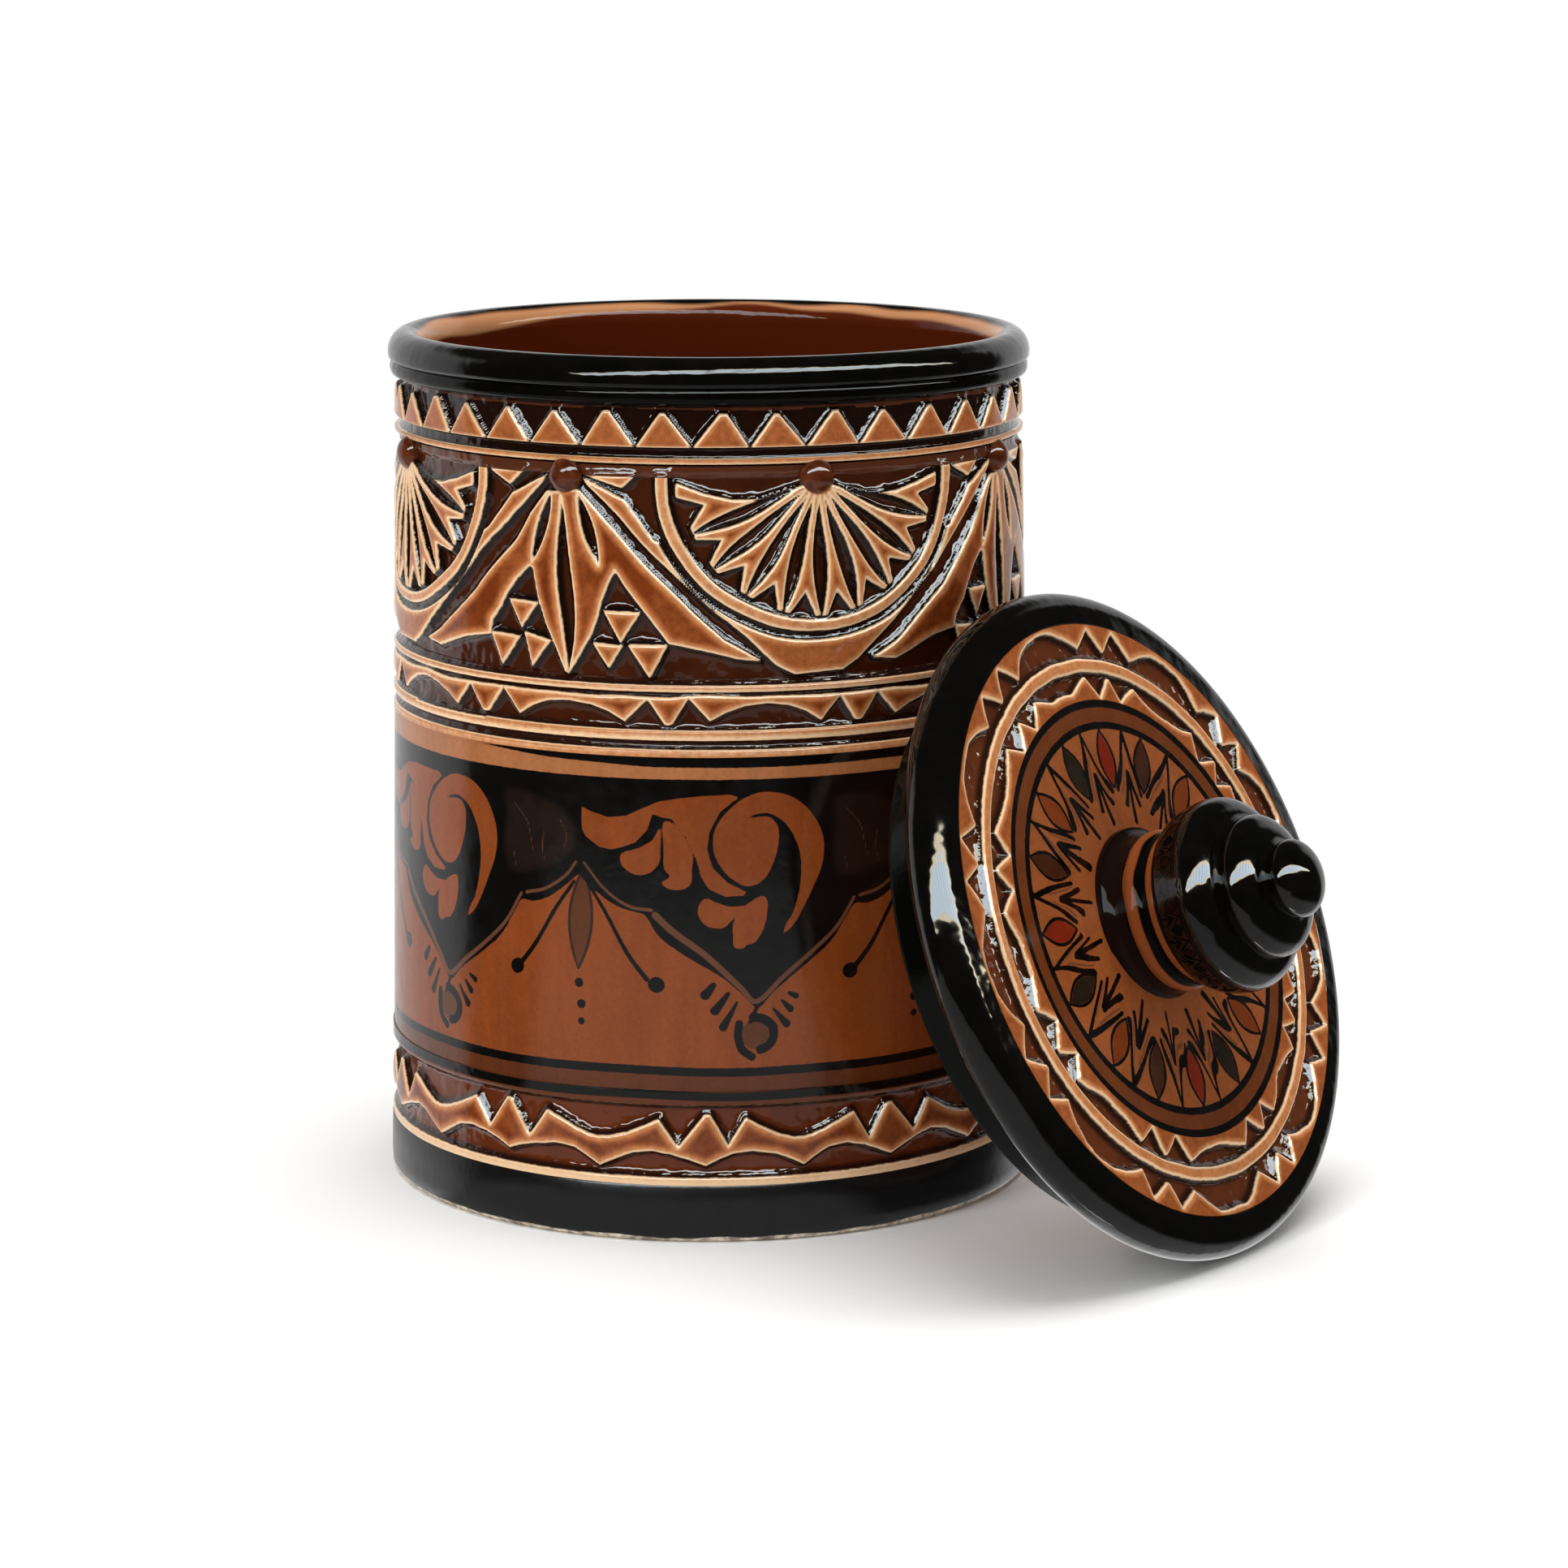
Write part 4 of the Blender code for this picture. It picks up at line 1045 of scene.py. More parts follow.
def pendant_layers(angles, heights):
    """Distances to the ink and the coloured slips of the painted band."""
    lift = 0.25 * waves(angles, heights, 42, 14, 0.12)
    y = heights + lift
    x = repeated(angles, PENDANT_TURN, PENDANT_COUNT) * UNROLL_RADIUS + 0.25 * waves(angles, heights, 41, 14, 0.12)
    edge = x - np.copysign(PENDANT_HALF_PITCH, x)

    def blob(points):
        return shape_gap(x, y, smooth_line(points, closed=True, steps=3))

    def stroke(points, *widths, place=x):
        return stroke_gap(place, y, smooth_line(points), *widths)

    festoon = [(-28.5, 76.0), (-28.5, 58.6), *smooth_line(FESTOON, steps=3), (28.5, 58.6), (28.5, 76.0)]
    flame = either(shape_gap(x, y, WING), *(blob(lobe) for lobe in (*WING_LOBES, CURL, *LEAVES)))
    ground = without(both(shape_gap(x, y, festoon), heights - GROUND_TOP), flame)
    leaf = leaf_gap(edge, y, *LEAF_AXIS)
    ink = either(
        ground,
        *(stroke(line, 0.28, 0.42, place=edge) for line in STEMS),
        *(dot_gap(edge, y, *dot) for dot in STEM_DOTS + SEED_DOTS),
        *(stroke_gap(x, y, (start, end), *widths) for start, end, *widths in DASHES),
        *(stroke(line, width) for line, width in zip(BUD_STROKES, BUD_WIDTHS)),
        *(band_gap(heights + 0.35 * lift, line) for line in BOTTOM_LINES),
        top_line_gap(angles, heights),
    )
    trim = either(
        OUTSIDE,
        *(stroke(line, 0.1, 0.05) for line in WASH_STROKES),
        *(stroke(line, *widths) for line, widths in zip(FESTOON_TRIM, FESTOON_TRIM_WIDTHS)),
    )
    return {
        "ink": ink, "flame": flame, "trim": trim, "olive": either(leaf, dot_gap(x, y, *BUD)),
        "stripe": GROUND_TOP - 0.1 - heights,
        "dark_stripe": band_gap(heights, (BOTTOM_LINES[1][1] - 0.3, BOTTOM_LINES[0][0] + 0.3)),
        "wash": both(blob(WASH), ground + 0.6), "outline": np.abs(leaf) - 0.25,
    }


def oval_layers(radii, angles):
    """Distances to the ink and the coloured slips of the lid's painted disc."""
    pitch = 360.0 / OVAL_COUNT
    index = (np.floor((np.degrees(angles) - OVAL_TURN) / pitch + 0.5) % OVAL_COUNT).astype(int)
    local = repeated(angles, OVAL_TURN, OVAL_COUNT) + np.radians(OVAL_JITTER)[index]
    oval = leaf_gap(radii * np.sin(local), radii * np.cos(local), *OVAL_AXIS, OVAL_HALF_WIDTH)
    local = repeated(angles, OVAL_TURN + pitch / 2, OVAL_COUNT)
    x, y = radii * np.sin(local) + 0.35 * waves(angles, radii, 51, 40, 0.2), radii * np.cos(local)
    ink = either(
        np.abs(oval + OVAL_OUTLINE / 2) - OVAL_OUTLINE / 2,
        *(stroke_gap(x, y, smooth_line(line), width * 1.2, width * 1.5) for *line, width in ARROW_STROKES),
        *(band_gap(radii, circle) for circle in CIRCLES),
    )
    trim = either(OUTSIDE, *(stroke_gap(x, y, smooth_line(line), width) for *line, width in ARROW_TRIM))
    fills = {
        name: np.where(index % len(OVAL_SLIPS) == order, oval + OVAL_OUTLINE, OUTSIDE)
        for order, name in enumerate(OVAL_SLIPS)
    }
    return {"ink": ink, "trim": trim, **fills, "between": CIRCLES[1][1] - radii, "foot": radii - 16.0}


# ---- Settings


def colour_setting(name, description, *colour):
    return bpy.props.FloatVectorProperty(
        name=name, description=description, default=tint(*colour)[:3], size=3, min=0.0, max=1.0, subtype="COLOR"
    )


def length_setting(name, description, metres):
    return bpy.props.FloatProperty(
        name=name, description=description, default=metres, unit="LENGTH", subtype="DISTANCE"
    )


class CanisterGlazes(bpy.types.PropertyGroup):
    pale: colour_setting("Pale edge", "Clay that shows through thin glaze on a carved edge", 240, 202, 160)
    thin: colour_setting("Thin glaze", "Glaze beside a carved edge", 192, 126, 78)
    honey: colour_setting("Honey", "Glaze on uncut ground", 156, 86, 44)
    deep_honey: colour_setting("Deep honey", "Glaze in the middle of wide ground", 112, 50, 16)
    pool: colour_setting("Pool", "Glaze pooled in a cut", 20, 8, 4)
    floor: colour_setting("Cut floor", "Glaze on a wide cut floor", 66, 28, 10)
    shallow_pool: colour_setting("Shallow pool", "Glaze pooled in the narrow friezes' cuts", 38, 16, 8)
    wave_floor: colour_setting("Wave floor", "Glaze on the floor of the waves above the foot", 100, 44, 18)
    recess: colour_setting("Recess", "Glaze in the turned recess under the teeth", 84, 44, 26)
    lid_pool: colour_setting("Lid pool", "Glaze pooled in the lid's cuts", 42, 20, 10)
    lid_floor: colour_setting("Lid floor", "Glaze on the floor of the lid's cuts", 96, 48, 24)
    painted_ground: colour_setting("Painted ground", "Clay colour of the painted band", 128, 66, 27)
    outline: colour_setting("Leaf outline", "Brown line round the leaf between the pendants", 48, 30, 22)
    wash: colour_setting("Wash", "Brown wash over the black ground beside each curl", 36, 23, 18)
    stripe: colour_setting("Stripe", "Orange stripe over the painted band", 164, 103, 62)
    dark_stripe: colour_setting("Dark stripe", "Brown stripe under the painted band", 90, 44, 19)
    ink: colour_setting("Ink", "Black painting slip", 9, 7, 6)
    flame: colour_setting("Flame", "Orange slip of the painted wings", 130, 58, 18)
    olive: colour_setting("Olive", "Olive slip of buds and leaves", 86, 46, 22)
    trim: colour_setting("Trim", "Thin scratched line beside the ink", 96, 58, 38)
    red: colour_setting("Red", "Red slip of the lid's ovals", 116, 32, 12)
    dark_green: colour_setting("Dark green", "Green slip of the lid's ovals", 32, 24, 14)
    brown: colour_setting("Brown", "Brown slip of the lid's ovals", 60, 30, 14)
    black: colour_setting("Black", "Black glaze", 4, 4, 3)
    black_thin: colour_setting("Thin black", "Black glaze where it thins", 10, 8, 6)
    pellet: colour_setting("Pellet", "Brown glaze of the pellets", 96, 48, 24)
    lid_ground: colour_setting("Lid ground", "Clay colour of the lid's painted disc", 140, 76, 38)
    # Pale bare clay, set lighter still: painted light that stands in for the floor's light on the foot's edge.
    clay: colour_setting("Bare clay", "Unglazed clay of the foot", 250, 236, 214)
    inside: colour_setting("Inside", "Glaze inside the jar", 84, 31, 10)
    inside_lip: colour_setting("Inside lip", "Thin glaze under the jar's lip", 182, 128, 88)


class CanisterSizes(bpy.types.PropertyGroup):
    cut_depth: length_setting("Cut depth", "Depth of the widest chip cuts", 0.00125)
    lid_cut_depth: length_setting("Lid cut depth", "Depth of the lid's chip cuts", 0.00105)
    tooth_count: bpy.props.IntProperty(
        name="Teeth", description="Teeth in the row under the rim", default=36, min=3
    )
    pellet_count: bpy.props.IntProperty(
        name="Pellets", description="Clay pellets round the shoulder", default=8, min=1
    )
    unevenness: length_setting("Unevenness", "How far the thrown forms stray from round", 0.00012)


class CanisterStage(bpy.types.PropertyGroup):
    floor_size: length_setting("Floor", "Side of the floor", 6.0)
    lens: bpy.props.FloatProperty(
        name="Lens", description="Focal length of the camera", default=107.67, unit="CAMERA"
    )
    camera_tilt: bpy.props.FloatProperty(
        name="Camera tilt", description="Camera's turn from straight down", default=math.radians(78.927),
        unit="ROTATION", subtype="ANGLE",
    )
    fill: bpy.props.FloatProperty(
        name="Fill light", description="Strength of the even light from all round", default=0.6, min=0.0
    )


# ---- Operators, one for each piece or group of like pieces


def glazes():
    return bpy.context.scene.canister_glazes


def sizes():
    return bpy.context.scene.canister_sizes


class CANISTER_OT_fan_frieze(bpy.types.Operator):
    """Carves the fans and tents round the jar"""

    bl_idname = "canister.fan_frieze"
    bl_label = "Fan frieze"

    def execute(self, context):
        heights, angles = ring_grid(*FAN_FRIEZE_GRID)
        gap = frieze_gap(angles, heights)
        shelf = np.clip((heights - RECESS_BOTTOM) / 0.5, 0.0, 1.0)
        depth = cut_depth(gap, sizes().cut_depth) * (1.0 - 0.35 * shelf)
        depth += 0.06 * waves(angles, heights, 13, 60, 1.2) * np.clip(gap, 0.0, 1.0)
        layers = {"edge": gap, "recess": RECESS_BOTTOM - heights}
        material = carved_material("fan_frieze_glaze", glazes(), (("recess", glazes().recess),))
        wall_band("fan_frieze", heights, angles, depth, layers, material)
        return {"FINISHED"}


class CANISTER_OT_chip_frieze(bpy.types.Operator):
    """Carves the narrow frieze of chips between two ridges"""

    bl_idname = "canister.chip_frieze"
    bl_label = "Chip frieze"

    def execute(self, context):
        tones = glazes()
        heights, angles = ring_grid(*CHIP_FRIEZE_GRID)
        gap = chip_gap(angles, heights)
        gap = np.where(heights < CHIP_BOTTOM, np.minimum(gap, -0.4), gap)
        layers = {"edge": gap, "stripe": heights - TOP_LINE[1], "ink": top_line_gap(angles, heights)}
        covers = (("stripe", tones.stripe), ("ink", tones.ink))
        material = carved_material("chip_frieze_glaze", tones, covers, tones.shallow_pool)
        wall_band("chip_frieze", heights, angles, cut_depth(gap, sizes().cut_depth), layers, material)
        return {"FINISHED"}


class CANISTER_OT_wave_frieze(bpy.types.Operator):
    """Carves the waves and teeth above the foot"""

    bl_idname = "canister.wave_frieze"
    bl_label = "Wave frieze"

    def execute(self, context):
        tones = glazes()
        heights, angles = ring_grid(*WAVE_FRIEZE_GRID)
        gap = wave_gap(angles, heights)
        line = band_gap(heights + 0.0875 * waves(angles, heights, 42, 14, 0.12), BOTTOM_LINES[1])
        layers = {"edge": gap, "stripe": WAVE_TOP_EDGE - 0.1 - heights, "ink": line}
        covers = (("stripe", tones.dark_stripe), ("ink", tones.ink))
        material = carved_material("wave_frieze_glaze", tones, covers, tones.shallow_pool, tones.wave_floor)
        wall_band("wave_frieze", heights, angles, cut_depth(gap, sizes().cut_depth), layers, material)
        return {"FINISHED"}


class CANISTER_OT_tooth_row(bpy.types.Operator):
    """Cuts the row of teeth under the rim"""

    bl_idname = "canister.tooth_row"
    bl_label = "Tooth row"

    def execute(self, context):
        material = carved_material("tooth_row_glaze", glazes(), (("recess", glazes().recess),))
        values = {
            "Count": float(sizes().tooth_count), "Turn": TOOTH_TURN, "Depth": sizes().cut_depth / MM,
            "Bottom radius": wall_radius(TOOTH_BOTTOM), "Top radius": wall_radius(WALL_TOP), "Material": material,
        }
        mesh = grow("tooth_row", tooth_tree(), bpy.data.meshes.new("tooth_row_start"), values)
        dress_jar(new_object("tooth_row", close_ring(mesh, sink_into_wall), material))
        return {"FINISHED"}


class CANISTER_OT_painted_band(bpy.types.Operator):
    """Paints the band of pendants between the friezes"""

    bl_idname = "canister.painted_band"
    bl_label = "Painted band"

    def execute(self, context):
        tones = glazes()
        under = [(name, getattr(tones, name)) for name in ("flame", "olive", "outline", "stripe", "dark_stripe")]
        material = painted_material(
            "painted_band_glaze", tones, tones.painted_ground, under, [("trim", tones.trim)], [("wash", tones.wash)]
        )
        for name, grid in (("painted_band_upper", UPPER_BAND_GRID), ("painted_band_lower", LOWER_BAND_GRID)):
            heights, angles = ring_grid(*grid)
            depth = 0.05 * waves(angles, heights, 44, 7, 0.08) + 0.22
            wall_band(name, heights, angles, depth, pendant_layers(angles, heights), material)
        return {"FINISHED"}


class CANISTER_OT_jar_turning(bpy.types.Operator):
    """Turns the jar's rim, its inside and its foot"""

    bl_idname = "canister.jar_turning"
    bl_label = "Rim, inside and foot"

    def execute(self, context):
        rough = sizes().unevenness
        self.rim(glazes(), rough)
        self.inside(glazes())
        self.foot(glazes(), rough)
        return {"FINISHED"}

    def rim(self, tones, rough):
        half_width = (SHOULDER_RADIUS + 1.1 - MOUTH_RADIUS) / 2
        crest = MOUTH_RADIUS + half_width
        start = (MOUTH_RADIUS + 0.6, RIM_BOTTOM)
        profile = [
            start, (MOUTH_RADIUS, LIP_BOTTOM), (MOUTH_RADIUS, RIM_MIDDLE),
            *arc((crest, RIM_MIDDLE), (half_width, 3.6), 180.0, -12.0, 26),
            (52.05, 135.1), *arc((51.55, 133.8), (0.55, 1.15), 70.0, -75.0, 10),
            (SHOULDER_RADIUS - 0.9, 132.3), (SHOULDER_RADIUS - 1.4, 132.0), (SHOULDER_RADIUS - 1.9, RIM_BOTTOM),
            start,
        ]
        covers = (("inside", tones.inside), ("lip", tones.inside_lip))
        material, tree, shader = black_material("rim_black_glaze", tones, 0.05, covers)
        shine = tree.smooth(tree.layer("height"), 134.6, 135.4, 0.15, 0.4)
        tree.give(shader.inputs["Specular IOR Level"], shine)
        mesh = turned_mesh("jar_rim", profile, 256, material, rough)
        height, radius, angle = read_points(mesh)
        below = height - (LIP_HEIGHT + 0.15 * waves(angle, height, 61, 18, 0.0))
        left, right = np.clip(-np.sin(angle), 0.0, 1.0), np.clip(np.sin(angle), 0.0, 1.0)
        drop = 0.5 + 2.6 * left ** 1.2 + 1.1 * right ** 1.5 + 0.3 * waves(angle, height, 62, 9, 0.0)
        strip = (np.abs(below + drop / 2) - drop / 2) * 0.3
        store(mesh, "inside", np.where(radius < crest - 1.0, below, OUTSIDE))
        store(mesh, "lip", np.where(radius < crest - 1.0, strip, OUTSIDE))
        store(mesh, "height", np.where(radius < crest - 0.8, LIP_BOTTOM, height))
        dress_jar(new_object("jar_rim", mesh, material))

    def inside(self, tones):
        floor, corner = 6.5, 8.0
        wall, start = 40.8 + corner, floor + corner
        shares = [step / 24 for step in range(1, 25)]
        profile = [
            (0.0, floor), *arc((wall - corner, start), (corner, corner), -90.0, 0.0, 10),
            *((wall + (MOUTH_RADIUS - wall) * share, start + (LIP_BOTTOM - start) * share) for share in shares),
            (MOUTH_RADIUS + 0.9, LIP_BOTTOM), (51.0, 14.0), (51.0, 5.0), (0.0, 5.0),
        ]
        material, tree, shader = glaze_material("inside_glaze", 0.12)
        streaks = tree.noise(90.0, 4.0, 0.6, (1.0, 1.0, 0.5))
        rings = tree.noise(60.0, 3.0, 0.5, (0.15, 0.15, 6.0))
        base = tree.blend(tree.smooth(streaks, 0.3, 0.75), tones.inside, tint(58, 20, 8))
        base = tree.blend(tree.smooth(rings, 0.45, 0.7, 0.0, 0.35), base, tint(116, 52, 20))
        dress_glaze(tree, shader, base, rings + streaks, 0.3, 0.0004)
        mesh = turned_mesh("jar_inside", profile, 192, material)
        store(mesh, "height", read_points(mesh)[0])
        dress_jar(new_object("jar_inside", mesh, material))

    def foot(self, tones, rough):
        steps = ((9.3, 0.25), (8.9, 0.05), (6.0, 0.0), (3.0, 0.0), (1.2, 0.08))
        profile = [
            (0.0, 4.8), (FOOT_RADIUS - SHELL_THICKNESS, 4.8), (FOOT_RADIUS - SHELL_THICKNESS, 9.3),
            *((wall_radius(height) - inset, height) for height, inset in steps),
            (FOOT_RADIUS - 0.4, 0.7), (FOOT_RADIUS - 0.75, 0.25), (FOOT_RADIUS - 1.2, 0.0),
            (FOOT_RADIUS - 7.0, 0.0), (FOOT_RADIUS - 7.6, 0.35), (0.0, 0.35),
        ]
        material, tree, shader = glaze_material("foot_black_glaze", 0.3)
        base = tree.blend(tree.smooth(tree.noise(260.0, 4.0), 0.3, 0.75), tint(11, 10, 10), tint(17, 16, 15))
        # The worn foot edge takes the lightened clay colour, which is painted light on the foot's edge.
        clay = tree.blend(tree.smooth(tree.noise(700.0, 3.0), 0.3, 0.7), tones.clay, tint(140, 122, 104))
        worn = tree.noise(110.0, 4.0) * 1.5 + tree.layer("height")
        base = tree.blend(tree.smooth(worn, 1.7, 1.45), base, clay)
        gloss = tree.smooth(worn, 1.3, 1.6, 0.75, 0.26)
        dress_glaze(tree, shader, base, tree.noise(420.0, 3.0), 0.3, 0.0002, gloss)
        mesh = turned_mesh("jar_foot", profile, 256, material, rough)
        store(mesh, "height", read_points(mesh)[0])
        dress_jar(new_object("jar_foot", mesh, material))


class CANISTER_OT_pellets(bpy.types.Operator):
    """Presses the clay pellets into the shoulder"""

    bl_idname = "canister.pellets"
    bl_label = "Pellets"

    def execute(self, context):
        material, tree, shader = glaze_material("pellet_glaze", 0.08)
        mottle = tree.smooth(tree.noise(500.0, 3.0), 0.3, 0.7)
        base = tree.blend(mottle, glazes().pellet, tint(66, 26, 10))
        dress_glaze(tree, shader, base, tree.noise(420.0, 2.0), 0.4, 0.0003)
        values = {
            "Count": sizes().pellet_count, "Turn": PELLET_TURN, "Height": PELLET_HEIGHT * MM,
            "Ring radius": (wall_radius(PELLET_HEIGHT) - PELLET_SINK) * MM, "Material": material,
        }
        mesh = grow("jar_pellets", pellet_tree(), bpy.data.meshes.new("pellets_start"), values)
        mesh.shade_smooth()
        item = new_object("jar_pellets", mesh, material)
        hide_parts(*["jar_bead_%d" % (index + 1) for index in range(8)])
        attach(item, "jar")
        return {"FINISHED"}


class CANISTER_OT_lid_turning(bpy.types.Operator):
    """Turns the lid's rim roll and its underside with the locating flange"""

    bl_idname = "canister.lid_turning"
    bl_label = "Lid rim and underside"

    def execute(self, context):
        self.rim(glazes())
        self.underside(glazes())
        return {"FINISHED"}

    def rim(self, tones):
        inner, roll = MOUTH_RADIUS - 0.4, LID_ROLL_RADIUS
        profile = [
            (inner, 0.4 - roll), (inner, 2.0), (LID_FACE_OUTER - 0.6, 2.0),
            (LID_FACE_OUTER, LID_FACE - 0.25), (LID_FACE_OUTER + 0.25, LID_FACE - 0.02),
            *arc((LID_RIM_RADIUS - roll, 0.0), (roll, roll), 88.0, -90.0, 30),
            (MOUTH_RADIUS + 0.6, -roll), (inner, 0.4 - roll),
        ]
        material = black_material("lid_rim_black_glaze", tones, 0.05)[0]
        mesh = turned_mesh("lid_rim", profile, 256, material, sizes().unevenness)
        dress_lid(new_object("lid_rim", mesh, material), "lid_plate")

    def underside(self, tones):
        roll, edge, ceiling, cove = LID_ROLL_RADIUS, FLANGE_EDGE, LID_CEILING, 2.2
        flange = MOUTH_RADIUS - FLANGE_CLEARANCE
        bore, bottom = flange - FLANGE_WALL, -roll - FLANGE_DEPTH
        grooves = [(at + step, ceiling - sink) for at in (29.4, 17.4) for step, sink in GROOVE]
        profile = [
            (0.0, LID_SHELL_BOTTOM), (MOUTH_RADIUS + 0.2, LID_SHELL_BOTTOM), (MOUTH_RADIUS + 0.2, 0.2 - roll),
            (flange + 0.3, -roll), (flange, -roll - 0.3),
            *arc((flange - edge, bottom + edge), (edge, edge), 0.0, -90.0, 6),
            *arc((bore + edge, bottom + edge), (edge, edge), -90.0, -180.0, 6),
            *arc((bore - cove, ceiling - cove), (cove, cove), 0.0, 90.0, 8),
            *grooves, (0.0, ceiling),
        ]
        material, tree, shader = glaze_material("lid_underside_glaze", 0.14)
        mottle, outer = tree.noise(140.0, 4.0), tree.smooth(tree.layer("outer"), -0.3, 0.3)
        base = tree.blend(tree.smooth(mottle, 0.3, 0.72), tones.honey, tones.deep_honey)
        base = tree.blend(tree.smooth(tree.noise(600.0, 3.0), 0.6, 0.8, 0.0, 0.5), base, tones.pool)
        # The bare flange foot takes the same lightened clay colour, which is painted light.
        bare = tree.blend(tree.smooth(tree.noise(800.0, 3.0), 0.3, 0.7), tones.clay, tint(150, 118, 88))
        worn = mottle * 1.2 + tree.layer("height")
        # The flange's outside is painted black and reflects little (see the Specular IOR Level below). This is a
        # painted shade that lets it pass for the shaded jar wall behind it.
        base = tree.blend(outer, base, tones.black)
        base = tree.blend(tree.smooth(worn, bottom + 1.6, bottom + 1.3) * (1.0 - outer), base, bare)
        gloss = tree.smooth(worn, bottom + 1.2, bottom + 1.6, 0.7, 0.14)
        dress_glaze(tree, shader, base, mottle, 0.3, 0.0004, gloss)
        shine = tree.smooth(tree.layer("outer"), -0.3, 0.3, 0.5, 0.15)
        tree.give(shader.inputs["Specular IOR Level"], shine)
        mesh = turned_mesh("lid_underside", profile, 192, material)
        height, radius, _ = read_points(mesh)
        store(mesh, "height", height)
        store(mesh, "outer", radius - (flange - 1.4))
        dress_lid(new_object("lid_underside", mesh, material), "lid_plate")


class CANISTER_OT_lid_carving(bpy.types.Operator):
    """Carves the two rings of chips on the lid's face"""

    bl_idname = "canister.lid_carving"
    bl_label = "Lid carving"

    def execute(self, context):
        tones = glazes()
        radii, angles = ring_grid(*LID_CARVING_GRID)
        gap = lid_gap(angles, radii)
        material = carved_material("lid_carving_glaze", tones, (), tones.lid_pool, tones.lid_floor)
        lid_ring("lid_carving", radii, angles, cut_depth(gap, sizes().lid_cut_depth), {"edge": gap}, material)
        return {"FINISHED"}


class CANISTER_OT_lid_painting(bpy.types.Operator):
    """Paints the lid's disc with its ring of ovals"""

    bl_idname = "canister.lid_painting"
    bl_label = "Lid painting"

    def execute(self, context):
        tones = glazes()
        radii, angles = ring_grid(*LID_PAINTING_GRID)
        depth = 0.16 + 0.03 * waves(angles, radii, 81, 9, 0.1)
        under = [
            ("red", tones.red), ("dark", tones.dark_green), ("brown", tones.brown), ("plain", tones.deep_honey),
            ("between", tint(100, 50, 22)),
        ]
        material = painted_material("lid_painting_glaze", tones, tones.lid_ground, under, [("trim", tones.trim)])
        lid_ring("lid_painting", radii, angles, depth, oval_layers(radii, angles), material)
        return {"FINISHED"}


class CANISTER_OT_knob(bpy.types.Operator):
    """Turns the finial knob"""

    bl_idname = "canister.knob"
    bl_label = "Knob"

    def execute(self, context):
        profile = [
            (0.0, 30.6), *arc((0.0, 27.0), (6.15, 3.6), 84.0, -24.0, 16),
            *arc((6.15, 21.6), (5.15, 3.3), 84.0, -24.0, 16),
            *arc((11.3, 15.8), (4.1, 3.9), 84.0, 0.0, 14), *arc((12.0, 15.8), (3.4, 7.1), -8.0, -88.0, 14),
            (12.25, 8.6), (12.4, 8.1), (12.25, 7.5), (11.95, 7.1), (11.95, 6.2), (12.3, 5.7),
            *arc((12.35, 4.5), (0.6, 0.95), 70.0, -70.0, 8), *arc((14.4, 2.5), (1.8, 2.5), 180.0, 268.0, 10),
            (14.5, -2.0), (0.0, -2.0),
        ]
        # The cove at the knob's foot is painted dark brown, a painted shade in the crease against the disc. Below the
        # belly the glaze's reflections are turned down, a painted shade on its underside.
        covers = (("ridge", tint(120, 62, 30)), ("cove", tint(22, 12, 9)))
        material, tree, shader = black_material("knob_black_glaze", glazes(), 0.04, covers)
        shine = tree.smooth(tree.layer("cove"), 6.0, 10.0, 0.06, 0.5)
        tree.give(shader.inputs["Specular IOR Level"], shine)
        mesh = turned_mesh("lid_knob_turning", profile, 160, material, sizes().unevenness * 0.6)
        height, _, angle = read_points(mesh)
        uneven = height + 0.12 * waves(math.pi - angle, height, 91, 12, 0.0)
        store(mesh, "ridge", either(band_gap(uneven, (3.5, 5.5)), band_gap(uneven, (7.4, 8.8))))
        store(mesh, "cove", height - 3.2)
        mesh.transform(Matrix.Translation((0.0, 0.0, LID_FACE * MM)) @ Matrix.Rotation(KNOB_LEAN, 4, "X"))
        dress_lid(new_object("lid_knob_turning", mesh, material), "lid_knob")
        return {"FINISHED"}


